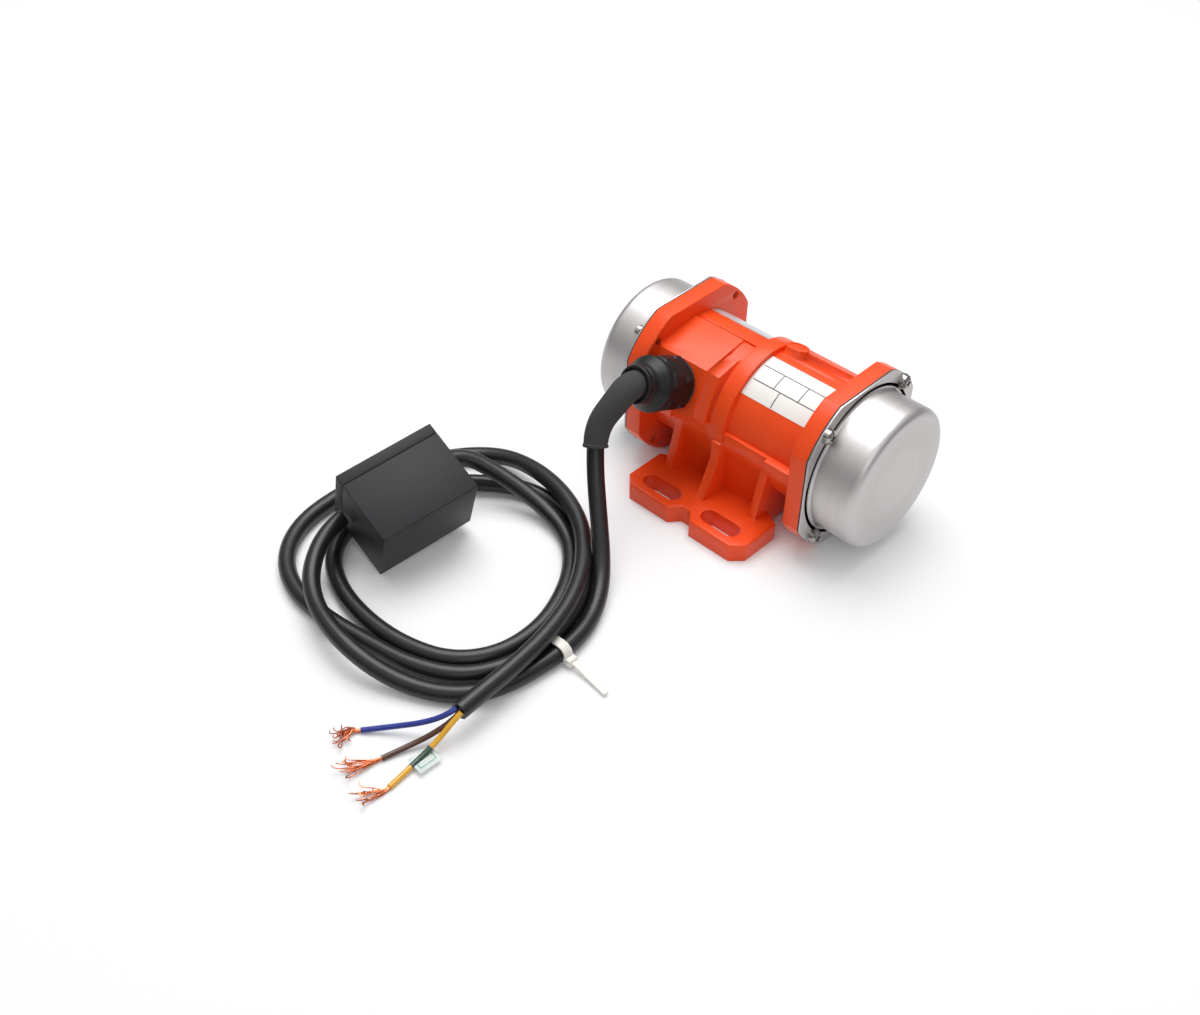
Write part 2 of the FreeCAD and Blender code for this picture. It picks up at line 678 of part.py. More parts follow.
def make_stator():
    """The laminated stator core and the windings in its slots."""
    length, start = "2 * stack_half_length", "-stack_half_length"
    slots = axial_rods("stator_slots", STATOR_SLOTS, "stator_slot_centre", "stator_slot_radius",
                       f"{length} + 2", f"{start} - 1")
    mouths = around("slot_mouths", STATOR_SLOTS, lambda name, angle: block(
        name, (f"{length} + 2", "slot_mouth", "stator_slot_centre"),
        (f"{start} - 1", f"-slot_mouth / 2 * cos({angle})", f"axis_height + slot_mouth / 2 * sin({angle})"),
        ((1, 0, 0), f"-{angle}")))
    core = ring("stator_stack", "bore_radius - seat", "stator_bore_radius", length, (start, "0", "axis_height"))
    node(cut("stator_core", core, slots, mouths))
    wires = axial_rods("slot_wires", STATOR_SLOTS, "stator_slot_centre", "coil_wire_radius",
                       f"{length} + end_turn_length", f"{start} - end_turn_length / 2")
    end_turns = [ring(f"end_turns_{name}", "end_turn_outside", "end_turn_inside", "end_turn_length - soft_gap",
                      (at, "0", "axis_height"))
                 for name, at in (("right", "stack_half_length + soft_gap"), ("left", "-stack_half_length - end_turn_length"))]
    node(fuse("stator_windings", wires, *end_turns))


def make_rotor():
    """The shaft with its squirrel cage, fixed weights, keys and retaining rings."""
    length, start = "2 * stack_half_length", "-stack_half_length"
    rotor_radius = "(stator_bore_radius - air_gap)"
    stack = ring("rotor_stack", rotor_radius, "shaft_core_radius", length, (start, "0", "axis_height"))
    bar_holes = axial_rods("rotor_bar_holes", ROTOR_BARS, "rotor_bar_centre", "rotor_bar_radius",
                           f"{length} + 2", f"{start} - 1")
    node(cut("rotor_core", stack, bar_holes))
    bars = axial_rods("rotor_bars", ROTOR_BARS, "rotor_bar_centre", "rotor_bar_radius - seat", length, start)
    rings = [ring(f"cage_ring_{name}", f"{rotor_radius} - 0.6", "end_ring_inside", "end_ring_length",
                  (at, "0", "axis_height"))
             for name, at in (("right", "stack_half_length"), ("left", "-stack_half_length - end_ring_length"))]
    node(fuse("rotor_cage", bars, *rings))
    journal = "(bearing_bore_radius - seat)"
    nose_start = "(casting_half_length + steel_thick)"
    halves = [
        ("shaft_end", "0"), ("shaft_end", "shaft_nose_radius - 0.6"),
        ("shaft_end - 0.6", "shaft_nose_radius"), (nose_start, "shaft_nose_radius"),
        (nose_start, journal), ("shield_hub_inside", journal), ("shield_hub_inside", "shaft_core_radius"),
    ]
    profile = halves + [(f"-{x}" if x.startswith("(") else f"-({x})", r) for x, r in reversed(halves)]
    shaft = turned("shaft_turned", profile)
    keyways = [key_block(f"keyway_{side}", sign, "0") for side, sign in (("right", ""), ("left", "-"))]
    node(cut("shaft", shaft, *keyways))


def key_block(label, sign, ease):
    """The space of a weight's key, on top of the shaft's nose."""
    start = "fixed_weight_at" if sign == "" else "-(fixed_weight_at + weight_thick)"
    return block(label, ("weight_thick", f"key_width + 2 * {ease}", f"key_high + {ease}"),
                 (start, f"-(key_width / 2 + {ease})", "axis_height + shaft_nose_radius - key_high / 2"))


def weight_blank(label, start, bore):
    """A half-disc weight hanging below the shaft, with a round hub."""
    disc = rod(label + "_disc", "weight_radius", "weight_thick", (start, "0", "axis_height"))
    lower = block(label + "_lower", ("weight_thick", "2 * weight_radius", "weight_radius"),
                  (start, "-weight_radius", "axis_height - weight_radius"))
    hub = rod(label + "_hub", "weight_hub_radius", "weight_thick", (start, "0", "axis_height"))
    half = common(label + "_half", disc, lower)
    hole = rod(label + "_bore", bore, "weight_thick + 2", (f"{start} - 1", "0", "axis_height"))
    return cut(label, fuse(label + "_solid", half, hub), hole)


def make_weights():
    """Two weights on each shaft end: the inner one keyed, the outer one clamped and adjustable."""
    fixed = cut("fixed_weight_right", weight_blank("fixed_blank", "fixed_weight_at", "shaft_nose_radius + seat"),
                key_block("fixed_key_slot", "", "seat"))
    node(fixed)
    node(mirrored("fixed_weight_left", fixed, (1, 0, 0)))
    node(both_sides("weight_keys", key_block("key_one", "", "0"), (1, 0, 0)))
    start = "(fixed_weight_at + weight_thick + weight_gap)"
    bolt_at = (f"{start} + weight_thick / 2", "-clamp_bolt_length / 2", "axis_height - clamp_bolt_drop")
    bolt_turn = ((1, 0, 0), "-90")
    bolt_hole = rod("clamp_hole", "clamp_bolt_radius + slip", "2 * weight_radius",
                    (bolt_at[0], "-weight_radius", bolt_at[2]), bolt_turn)
    split = block("clamp_split", ("weight_thick + 2", "1.2", "clamp_bolt_drop + 4"),
                  (f"{start} - 1", "-0.6", "axis_height - clamp_bolt_drop - 4"))
    adjustable = cut("adjustable_weight_right", weight_blank("adjustable_blank", start, "shaft_nose_radius + slip"),
                     bolt_hole, split)
    node(adjustable)
    node(mirrored("adjustable_weight_left", adjustable, (1, 0, 0)))
    bolt = node(rod("clamp_bolt_right", "clamp_bolt_radius", "clamp_bolt_length", bolt_at, bolt_turn))
    node(mirrored("clamp_bolt_left", bolt, (1, 0, 0)))
    clip = ring("clip_one", "ring_radius", "shaft_nose_radius", "ring_thick",
                (f"{start} + weight_thick + weight_gap", "0", "axis_height"))
    node(both_sides("retaining_rings", clip, (1, 0, 0)))


def gland_point(distance):
    """Place of a point on the gland's axis, measured from the pad's face."""
    reach = f"(pad_face + {distance})"
    return ("gland_at", f"-{reach} * cos(pad_tilt)", f"axis_height + {reach} * sin(pad_tilt)")


def make_gland():
    """The cable gland: seal, body, domed nut and the rubber sleeve on the cable."""
    turn = ((1, 0, 0), "90 - pad_tilt")
    node(ring("gland_seal", "gland_seal_radius", "gland_hole_radius", "gland_seal_thick", gland_point("0"), turn))
    hexagon = add("Part::Prism", "gland_hex")
    hexagon.Polygon = 6
    bind(hexagon, {"Circumradius": "gland_hex_across / 2 / cos(30)", "Height": "gland_hex_thick"})
    place(hexagon, gland_point("gland_seal_thick"), turn)
    thread = rod("gland_thread", "gland_hole_radius - slip", "gland_thread_length + gland_seal_thick",
                 gland_point("-gland_thread_length"), turn)
    throat = rod("gland_throat", "cable_radius + 1.4", "gland_thread_length + 20",
                 gland_point("-gland_thread_length - 1"), turn)
    node(cut("gland_body", fuse("gland_body_solid", hexagon, thread), throat))
    nut_start = "(gland_seal_thick + gland_hex_thick)"
    node(turned("gland_nut", [
        ("nut_mouth_radius", "0"), ("nut_radius", "0"), ("nut_radius", "nut_skirt_length", "nut_shoulder_length", 1),
        ("nut_shoulder_radius", "nut_skirt_length + nut_shoulder_length"),
        ("nut_mouth_radius + nut_lip", "nut_length"), ("nut_mouth_radius", "nut_length"),
    ], gland_point(nut_start), turn))
    node(ring("gland_bush", "nut_mouth_radius", "sleeve_radius", "nut_length - 1.5", gland_point(nut_start), turn))
    return nut_start


def rounded_path(points):
    """Straight runs joined by tangent arcs; also the smallest radius and the whole length."""
    route = [Vector(*point) for point in points]
    edges = []
    radii = []
    at = route[0]
    for before, corner, after in zip(route, route[1:], route[2:]):
        into, out = corner - before, after - corner
        half_turn = into.getAngle(out) / 2
        radius = 0.45 * min(into.Length, out.Length) / math.tan(half_turn)
        trim = radius * math.tan(half_turn)
        into.normalize()
        out.normalize()
        start, end = corner - into * trim, corner + out * trim
        middle = corner + (out - into).normalize() * (radius / math.cos(half_turn) - radius)
        edges += [Part.LineSegment(at, start).toShape(), Part.Arc(start, middle, end).toShape()]
        radii.append(radius)
        at = end
    edges.append(Part.LineSegment(at, route[-1]).toShape())
    return Part.Wire(edges), radii


def tube(label, points, radius):
    """A cord's tube along its route, checked against section times length."""
    wire, radii = rounded_path(points)
    run = Vector(*points[1]) - Vector(*points[0])
    section = Part.Wire(Part.Circle(Vector(*points[0]), run, radius).toShape())
    shape = wire.makePipeShell([section], True, False)
    expected = math.pi * radius ** 2 * wire.Length
    smallest = min(radii) if radii else float("inf")
    print(f"{label}: length {wire.Length:.1f}, smallest radius {smallest:.1f},"
          f" volume {shape.Volume / expected:.4f} of section times length")
    item = add("Part::Feature", label)
    item.Shape = shape
    return node(item)


def make_sleeve(nut_start):
    """The rubber sleeve: out of the nut along the gland's axis, then down over the cable."""
    start = Vector(*[value(part) for part in gland_point(nut_start)])
    lean = math.radians(value("pad_tilt"))
    out = Vector(0, -math.cos(lean), math.sin(lean))
    end = Vector(*MOTOR_CABLE[0])
    last = (end - Vector(*MOTOR_CABLE[1])).normalize()
    mouth = start + out * (value("nut_length") + 3)
    route = [start, mouth, mouth + Vector(0, -9.6, -4.4), end + last * 10, end]
    tube("cable_sleeve", [tuple(point) for point in route], value("sleeve_radius"))


def placed_box(label, length, width, height, rise, across="0"):
    """A box about the capacitor box's own middle line, lifted along its height and moved across it."""
    item = add("Part::Box", label)
    bind(item, {"Length": length, "Width": width, "Height": height})
    corner = Vector(-value(length) / 2, value(f"{across} - ({width}) / 2"), value(rise))
    offset = BOX_TURN.multVec(corner)
    item.Placement = Placement(offset, BOX_TURN)
    bind(item, {f"Placement.Base.{axis}": f"box_{axis} + {part}" for axis, part in zip("xyz", offset)})
    return item


def make_capacitor_box():
    """The plastic box, its side lid and the run capacitor inside."""
    lid_side = "(box_width - box_lid) / 2"
    shell = placed_box("box_outside", "box_length", "box_width - box_lid", "box_height", "0", "-box_lid / 2")
    hollow = placed_box("box_inside", "box_length - 2 * box_wall", "box_width - box_lid - box_wall",
                        "box_height - 2 * box_wall", "box_wall", "(box_wall - box_lid) / 2")
    node(cut("capacitor_box", shell, hollow))
    node(placed_box("capacitor_box_lid", "box_length", "box_lid", "box_height", "0", lid_side))
    node(placed_box("capacitor", "capacitor_length", "capacitor_width", "capacitor_height", "box_wall",
                    "-box_lid / 2"))


def make_coil():
    """The loose coil of cable, one solid of its outer shape, with the tie round it."""
    edges = []
    for index, (start, through) in enumerate(COIL_OUTLINE):
        end = COIL_OUTLINE[(index + 1) % len(COIL_OUTLINE)][0]
        if through is None:
            edges.append(Part.LineSegment(Vector(*start, 0), Vector(*end, 0)).toShape())
        else:
            edges.append(Part.Arc(Vector(*start, 0), Vector(*through, 0), Vector(*end, 0)).toShape())
    eye = Part.Wire(Part.Ellipse(Vector(*COIL_EYE[:2], 0), *COIL_EYE[2:]).toShape())
    face = Part.Face([Part.Wire(edges), eye])
    coil = add("Part::Feature", "coil_outer_shape")
    coil.Shape = face.extrude(Vector(0, 0, COIL_HEIGHT))
    gap = "2 * soft_gap"
    box_space = placed_box("coil_box_space", f"box_length + {gap}", f"box_width + {gap}",
                           f"box_height + {gap}", "-soft_gap")
    tie_space = tie_block("coil_tie_space", "0")
    tie_core = tie_block("coil_tie_core", "tie_thick")
    node(cut("cable_coil", coil, box_space, cut("coil_tie_groove", tie_space, tie_core)))
    node(cut("cable_tie", tie_block("tie_outside", "0"), tie_block("tie_hole", "tie_thick", "1")))


def tie_block(label, inset, ease="0"):
    """The block round which the tie is drawn, made smaller by an inset on every side."""
    return block(label, (f"tie_span - 2 * {inset}", f"tie_width + 2 * {ease}", f"tie_high - 2 * {inset}"),
                 (f"tie_left + {inset}", f"tie_front - {ease}", inset))


def make_cords():
    """The motor's cable down to the coil, the mains tail, and its three cores."""
    tube("motor_cable", MOTOR_CABLE, value("cable_radius"))
    tube("mains_tail", MAINS_TAIL, value("cable_radius"))
    ends = []
    for label, points in CORE_ROUTES.items():
        tube(label, points, value("core_radius"))
        last, before = Vector(*points[-1]), Vector(*points[-2])
        along = (last - before).normalize()
        along.z = 0.0
        strand = add("Part::Cone", label + "_strands")
        bind(strand, {"Radius1": "core_radius * 0.8", "Radius2": "core_radius"})
        strand.Height = 11.0
        strand.Placement = Placement(last + along * 0.3, Rotation(Vector(0, 0, 1), along))
        ends.append(strand)
    node(group("copper_strands", *ends))
    node(block("core_tag", ("tag_width", "tag_length", "tag_thick"), ("15.2", "-249", "tag_rise"), ((0, 0, 1), "-4")))


def check_and_write():
    """Stop on any failed object, then write each sub-part to its file."""
    doc.recompute()
    for item in doc.Objects:
        if {"Invalid", "Error"} & set(item.State):
            raise RuntimeError(f"{item.Label} failed: {item.State}")
    os.makedirs("parts", exist_ok=True)
    for item in nodes:
        shape = item.Shape
        if shape.isNull() or not shape.isValid() or not shape.Solids:
            raise RuntimeError(f"{item.Label} has no valid solid")
        print(f"{item.Label}: {len(shape.Solids)} solid(s), {shape.Volume:.0f} mm3")
        shape.exportStep(os.path.join("parts", item.Label + ".step"))


fill_sheet()
make_casting()
make_covers()
make_shields_and_bearings()
make_stator()
make_rotor()
make_weights()
make_sleeve(make_gland())
make_capacitor_box()
make_coil()
make_cords()
check_and_write()
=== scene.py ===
"""A small vibration motor with its lead, capacitor box and mains cable, dressed around its CAD frame."""

import logging
import math
import random
from bisect import bisect_right
from dataclasses import dataclass, field
from enum import Enum
from typing import Optional, Sequence

import bmesh
import bpy
from mathutils import Matrix, Vector


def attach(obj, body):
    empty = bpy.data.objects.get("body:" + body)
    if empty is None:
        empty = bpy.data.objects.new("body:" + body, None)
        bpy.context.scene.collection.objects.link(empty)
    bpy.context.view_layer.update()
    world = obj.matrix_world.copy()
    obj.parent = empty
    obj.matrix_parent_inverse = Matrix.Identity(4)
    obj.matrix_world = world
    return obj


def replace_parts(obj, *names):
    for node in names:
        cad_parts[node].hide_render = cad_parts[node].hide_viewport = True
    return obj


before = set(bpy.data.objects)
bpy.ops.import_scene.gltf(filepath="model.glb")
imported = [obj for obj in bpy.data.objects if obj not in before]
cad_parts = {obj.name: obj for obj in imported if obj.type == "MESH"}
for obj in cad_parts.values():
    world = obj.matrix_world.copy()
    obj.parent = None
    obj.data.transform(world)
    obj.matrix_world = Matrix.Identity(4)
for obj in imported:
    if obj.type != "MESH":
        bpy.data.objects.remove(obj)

log = logging.getLogger("vibration_motor")
MM = 0.001
AXIS_HEIGHT = 40.0
# Points closer than this are one point: in a shape, and on a spun one, in millimetres.
MERGE = 1e-5
SPUN_MERGE = 1e-4
# A patch laid on a round gets one piece for each turn of this many degrees.
PATCH_STEP_DEG = 2
# Patches of another roughness are this much smaller than those of another colour.
ROUGH_PATCH = 0.4
# The colour sockets of a Mix node, whose names stand more than once.
MIX_FIRST, MIX_SECOND, MIX_RESULT = 6, 7, 2
Point = tuple[float, float, float]


# --- small tools ----------------------------------------------------------------------------------


def linear(hex_colour: str) -> tuple[float, float, float, float]:
    """Turn an sRGB hex colour into the linear values that shaders use.

    Args:
        hex_colour: six hex digits.

    Returns:
        Red, green, blue and an alpha of one.
    """
    channels = [int(hex_colour.lstrip("#")[i:i + 2], 16) / 255 for i in (0, 2, 4)]
    red, green, blue = (c / 12.92 if c <= 0.04045 else ((c + 0.055) / 1.055) ** 2.4 for c in channels)
    return red, green, blue, 1.0


def add_node(tree: bpy.types.NodeTree, kind: str, links: Optional[dict] = None, values: Optional[dict] = None,
             **settings: object) -> bpy.types.Node:
    """Add one node with its settings, socket values and incoming links.

    Args:
        tree: the node tree.
        kind: the node's type.
        links: socket name or index to the output socket that feeds it.
        values: socket name or index to a plain value.
        settings: attributes of the node itself.

    Returns:
        The new node.
    """
    node = tree.nodes.new(kind)
    for key, setting in settings.items():
        setattr(node, key, setting)
    for key, given in (values or {}).items():
        node.inputs[key].default_value = given
    for key, source in (links or {}).items():
        tree.links.new(source, node.inputs[key])
    return node


class Pattern(Enum):
    """How a finish's fine relief runs over the piece."""

    EVEN = "even"
    DRAWN = "drawn"


@dataclass(frozen=True)
class Finish:
    """One real finish: what it is made of and how its surface was made."""

    name: str
    colour: str
    roughness: float
    metallic: float = 0.0
    mottle: str = ""
    mottle_mm: float = 8.0
    grain_mm: float = 0.0
    grain_depth_mm: float = 0.0
    wave_mm: float = 0.0
    wave_depth_mm: float = 0.0
    rough_swing: float = 0.0
    coat: float = 0.0
    coat_roughness: float = 0.1
    alpha: float = 1.0
    sheen: float = 0.0
    specular: float = 0.5
    pattern: Pattern = Pattern.EVEN

    def coordinates(self, tree: bpy.types.NodeTree) -> bpy.types.NodeSocket:
        """Return the coordinates that the relief is laid on.

        Args:
            tree: the material's node tree.

        Returns:
            A vector socket, in metres.
        """
        place = add_node(tree, "ShaderNodeTexCoord").outputs["Object"]
        if self.pattern is Pattern.EVEN:
            return place
        parts = add_node(tree, "ShaderNodeSeparateXYZ", {0: place})
        above = add_node(tree, "ShaderNodeMath", {0: parts.outputs["Z"]}, {1: AXIS_HEIGHT * MM},
                         operation="SUBTRACT")
        flat = add_node(tree, "ShaderNodeCombineXYZ", {"Y": parts.outputs["Y"], "Z": above.outputs[0]})
        radius = add_node(tree, "ShaderNodeVectorMath", {0: flat.outputs[0]}, operation="LENGTH")
        return add_node(tree, "ShaderNodeCombineXYZ", {"X": parts.outputs["X"],
                                                       "Y": radius.outputs["Value"]}).outputs[0]

    def noise(self, tree: bpy.types.NodeTree, where: bpy.types.NodeSocket, size_mm: float,
              detail: float = 2.0) -> bpy.types.NodeSocket:
        """Return a noise whose lumps are about one size.

        Args:
            tree: the material's node tree.
            where: the coordinates.
            size_mm: the size of a lump.
            detail: the octaves of detail.

        Returns:
            The noise's value socket.
        """
        return add_node(tree, "ShaderNodeTexNoise", {"Vector": where},
                        {"Scale": 1.0 / (size_mm * MM), "Detail": detail}).outputs["Fac"]

    def build(self) -> bpy.types.Material:
        """Make the material, or return it if it was made before.

        Returns:
            The material.
        """
        known = bpy.data.materials.get(self.name)
        if known:
            return known
        material = bpy.data.materials.new(self.name)
        material.use_nodes = True
        tree = material.node_tree
        shader = tree.nodes["Principled BSDF"]
        plain = {"Base Color": linear(self.colour), "Roughness": self.roughness, "Metallic": self.metallic,
                 "Coat Weight": self.coat, "Coat Roughness": self.coat_roughness, "Alpha": self.alpha,
                 "Sheen Weight": self.sheen, "Specular IOR Level": self.specular}
        for socket, setting in plain.items():
            shader.inputs[socket].default_value = setting
        where = self.coordinates(tree)
        if self.mottle:
            mix = add_node(tree, "ShaderNodeMix", {0: self.noise(tree, where, self.mottle_mm, detail=3.0)},
                           {MIX_FIRST: linear(self.colour), MIX_SECOND: linear(self.mottle)},
                           data_type="RGBA")
            tree.links.new(mix.outputs[MIX_RESULT], shader.inputs["Base Color"])
        if self.rough_swing:
            swing = add_node(tree, "ShaderNodeMapRange",
                             {"Value": self.noise(tree, where, self.mottle_mm * ROUGH_PATCH)},
                             {"To Min": self.roughness - self.rough_swing,
                              "To Max": self.roughness + self.rough_swing})
            tree.links.new(swing.outputs[0], shader.inputs["Roughness"])
        normal = None
        for size, depth in ((self.wave_mm, self.wave_depth_mm), (self.grain_mm, self.grain_depth_mm)):
            if size and depth:
                links = {"Height": self.noise(tree, where, size)}
                if normal:
                    links["Normal"] = normal
                normal = add_node(tree, "ShaderNodeBump", links, {"Distance": depth * MM}).outputs[0]
        if normal:
            tree.links.new(normal, shader.inputs["Normal"])
        return material


# Powder coat on a die casting: glossy, with a soft orange peel and the casting's own slow waves under it.
ORANGE_PAINT = Finish("orange_powder_coat", "#F4511B", 0.34, mottle="#EC4917", mottle_mm=14, grain_mm=1.1,
                      grain_depth_mm=0.035, wave_mm=9, wave_depth_mm=0.12, specular=0.32)
# Deep-drawn stainless steel: satin, with fine rings left by the die.
DRAWN_STEEL = Finish("drawn_stainless_steel", "#D0CDCD", 0.46, metallic=1.0, mottle="#C2BEBD", mottle_mm=5,
                     grain_mm=0.9, grain_depth_mm=0.003, rough_swing=0.06, pattern=Pattern.DRAWN)
# Zinc-plated screws and washers: brighter and smoother than the covers.
PLATED_STEEL = Finish("zinc_plated_steel", "#B3B0AE", 0.27, metallic=1.0, mottle="#9C9896", mottle_mm=1.5,
                      rough_swing=0.06)
# Gasket and sleeve rubber: dull, almost black, with a faint bloom.
BLACK_RUBBER = Finish("black_rubber", "#1D1D1F", 0.6, mottle="#242426", mottle_mm=4, grain_mm=0.35,
                      grain_depth_mm=0.01, specular=0.35)
# Moulded nylon of the gland: fine-grained, half matt.
GLAND_NYLON = Finish("moulded_black_nylon", "#121213", 0.42, mottle="#171718", mottle_mm=6, grain_mm=0.5,
                     grain_depth_mm=0.014, specular=0.3)
# Extruded PVC cable jacket: soft sheen, faint lengthwise unevenness.
CABLE_PVC = Finish("black_pvc_jacket", "#171719", 0.36, mottle="#1F1F22", mottle_mm=7, grain_mm=0.5,
                   grain_depth_mm=0.012, wave_mm=6, wave_depth_mm=0.08, specular=0.42)
# Spark-eroded ABS of the capacitor box: even, fine grain, half matt.
BOX_ABS = Finish("textured_black_abs", "#29292B", 0.52, mottle="#2F2F31", mottle_mm=10, grain_mm=0.4,
                 grain_depth_mm=0.02, specular=0.2)
# Vinyl of the rating label: white, satin, and the printed rules on it.
LABEL_VINYL = Finish("white_label_vinyl", "#EDEBE6", 0.38)
LABEL_INK = Finish("black_label_ink", "#262628", 0.5)
# Metallised polyester of the second label: silver, a little dull.
LABEL_FOIL = Finish("silver_label_foil", "#D6D9DD", 0.3, metallic=0.35, mottle="#C4C8CC", mottle_mm=5)
# Nylon cable tie: milky white, slightly see-through.
TIE_NYLON = Finish("natural_nylon", "#E9E6DE", 0.4, sheen=0.05)
# PVC core insulation, smooth and glossy.
BLUE_PVC = Finish("blue_pvc", "#1F318F", 0.3, mottle="#26398F", mottle_mm=3, coat=0.2)
BROWN_PVC = Finish("brown_pvc", "#57301F", 0.33, mottle="#4A281C", mottle_mm=3, coat=0.2)
YELLOW_PVC = Finish("yellow_pvc", "#DDA21C", 0.33, mottle="#E4AE2E", mottle_mm=3, coat=0.2)
# Bare copper wire, slightly dulled.
COPPER = Finish("bare_copper", "#D9835F", 0.3, metallic=1.0, mottle="#C8704C", mottle_mm=1)
# Thin clear film of the tag on one core, and the print on it.
CLEAR_FILM = Finish("clear_film", "#DCE6E1", 0.22, alpha=0.62)
GREEN_INK = Finish("green_ink", "#5F9A86", 0.5)
# The green run of the earth core under its tag.
GREEN_PVC = Finish("green_pvc", "#2F4A3A", 0.35, coat=0.2)
# Pieces inside the motor.
SHIELD_ALUMINIUM = Finish("machined_aluminium", "#B9BABC", 0.35, metallic=1.0, mottle="#A9AAAD", mottle_mm=4)
BEARING_STEEL = Finish("ground_bearing_steel", "#C8C9CC", 0.18, metallic=1.0)
CORE_STEEL = Finish("laminated_core_steel", "#8A8C92", 0.45, metallic=1.0, mottle="#7A7C82", mottle_mm=2)
WINDING_ENAMEL = Finish("enamelled_winding_wire", "#B5562B", 0.38, metallic=0.6, mottle="#A84E28",
                        mottle_mm=1, grain_mm=0.8, grain_depth_mm=0.1)
WEIGHT_STEEL = Finish("oiled_mild_steel", "#77787C", 0.4, metallic=1.0, mottle="#6A6B70", mottle_mm=6)
CAPACITOR_SHELL = Finish("moulded_grey_plastic", "#9A9B9E", 0.5)

CAD_FINISHES: dict[str, tuple[Finish, str]] = {
    "housing": (ORANGE_PAINT, "orange_paint"),
    "end_cover_right": (DRAWN_STEEL, "drawn_steel"), "end_cover_left": (DRAWN_STEEL, "drawn_steel"),
    "gasket_right": (BLACK_RUBBER, "black_rubber"), "gasket_left": (BLACK_RUBBER, "black_rubber"),
    "cover_screws": (PLATED_STEEL, "bright_steel"), "cover_washers": (PLATED_STEEL, "bright_steel"),
    "end_shield_right": (SHIELD_ALUMINIUM, "cast_aluminium"),
    "end_shield_left": (SHIELD_ALUMINIUM, "cast_aluminium"),
    "preload_washers": (BEARING_STEEL, "bearing_steel"),
    "bearing_outer_races": (BEARING_STEEL, "bearing_steel"),
    "bearing_inner_races": (BEARING_STEEL, "bearing_steel"), "bearing_seals": (BLACK_RUBBER, "black_rubber"),
    "stator_core": (CORE_STEEL, "electrical_steel"), "stator_windings": (WINDING_ENAMEL, "copper"),
    "gland_seal": (BLACK_RUBBER, "black_rubber"), "gland_body": (GLAND_NYLON, "black_plastic"),
    "gland_nut": (GLAND_NYLON, "black_plastic"), "gland_bush": (BLACK_RUBBER, "black_rubber"),
    "cable_sleeve": (BLACK_RUBBER, "black_rubber"), "motor_cable": (CABLE_PVC, "cable_black"),
    "cable_coil": (CABLE_PVC, "cable_black"), "mains_tail": (CABLE_PVC, "cable_black"),
    "cable_tie": (TIE_NYLON, "white_plastic"), "capacitor_box": (BOX_ABS, "black_plastic"),
    "capacitor_box_lid": (BOX_ABS, "black_plastic"), "capacitor": (CAPACITOR_SHELL, "grey_plastic"),
    "core_blue": (BLUE_PVC, "blue_insulation"), "core_brown": (BROWN_PVC, "brown_insulation"),
    "core_yellow": (YELLOW_PVC, "yellow_insulation"), "copper_strands": (COPPER, "copper"),
    "core_tag": (CLEAR_FILM, "clear_plastic"),
    "shaft": (BEARING_STEEL, "bright_steel"), "rotor_core": (CORE_STEEL, "electrical_steel"),
    "rotor_cage": (SHIELD_ALUMINIUM, "cast_aluminium"), "fixed_weight_right": (WEIGHT_STEEL, "weight_steel"),
    "fixed_weight_left": (WEIGHT_STEEL, "weight_steel"), "weight_keys": (WEIGHT_STEEL, "weight_steel"),
    "retaining_rings": (BEARING_STEEL, "bright_steel"),
    "adjustable_weight_right": (WEIGHT_STEEL, "weight_steel"),
    "adjustable_weight_left": (WEIGHT_STEEL, "weight_steel"),
    "clamp_bolt_right": (PLATED_STEEL, "bright_steel"), "clamp_bolt_left": (PLATED_STEEL, "bright_steel"),
}


def finished(name: str, data: bpy.types.ID, finish: Finish) -> bpy.types.Object:
    """Put a piece in the scene with its finish; every piece made here rides on the frame.

    Args:
        name: the piece's name.
        data: its mesh or curve.
        finish: its finish.

    Returns:
        The new object.
    """
    piece = bpy.data.objects.new(name, data)
    bpy.context.scene.collection.objects.link(piece)
    data.materials.append(finish.build())
    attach(piece, "frame")
    log.info("made %s", name)
    return piece


def to_mesh(bm: bmesh.types.BMesh, name: str, sharp_deg: float = 32.0, scale: float = MM) -> bpy.types.Mesh:
    """Close a piece off as a mesh in metres, smooth but for its sharp edges.

    Args:
        bm: the piece, in millimetres unless scale says otherwise.
        name: the mesh's name.
        sharp_deg: edges that turn more than this stay sharp.
        scale: what brings it to metres.

    Returns:
        The mesh.
    """
    bmesh.ops.remove_doubles(bm, verts=bm.verts, dist=MERGE * MM / scale)
    bmesh.ops.recalc_face_normals(bm, faces=bm.faces)
    bmesh.ops.scale(bm, vec=(scale,) * 3, verts=bm.verts)
    for face in bm.faces:
        face.smooth = True
    mesh = bpy.data.meshes.new(name)
    bm.to_mesh(mesh)
    bm.free()
    mesh.set_sharp_from_angle(angle=math.radians(sharp_deg))
    return mesh


def rounded_profile(corners: Sequence[tuple[float, ...]], segments: int = 4) -> list[Vector]:
    """Round the corners of an outline.

    Args:
        corners: (x, y) or (x, y, radius) for each corner of an open outline.
        segments: the pieces of each round.

    Returns:
        The outline's points, flat in z.
    """
    spots = [Vector((c[0], c[1], 0)) for c in corners]
    points = []
    for index, corner in enumerate(corners):
        radius = corner[2] if len(corner) > 2 else 0.0
        if not radius or index in (0, len(corners) - 1):
            points.append(spots[index])
            continue
        into = (spots[index] - spots[index - 1]).normalized()
        out = (spots[index + 1] - spots[index]).normalized()
        half = into.angle(out) / 2
        start = spots[index] - into * radius * math.tan(half)
        side = (out - into).normalized()
        centre = spots[index] + side * (radius / math.cos(half))
        arm = start - centre
        turn = 1 if into.cross(out).z > 0 else -1
        for step in range(segments + 1):
            points.append(centre + Matrix.Rotation(turn * 2 * half * step / segments, 3, "Z") @ arm)
    return points


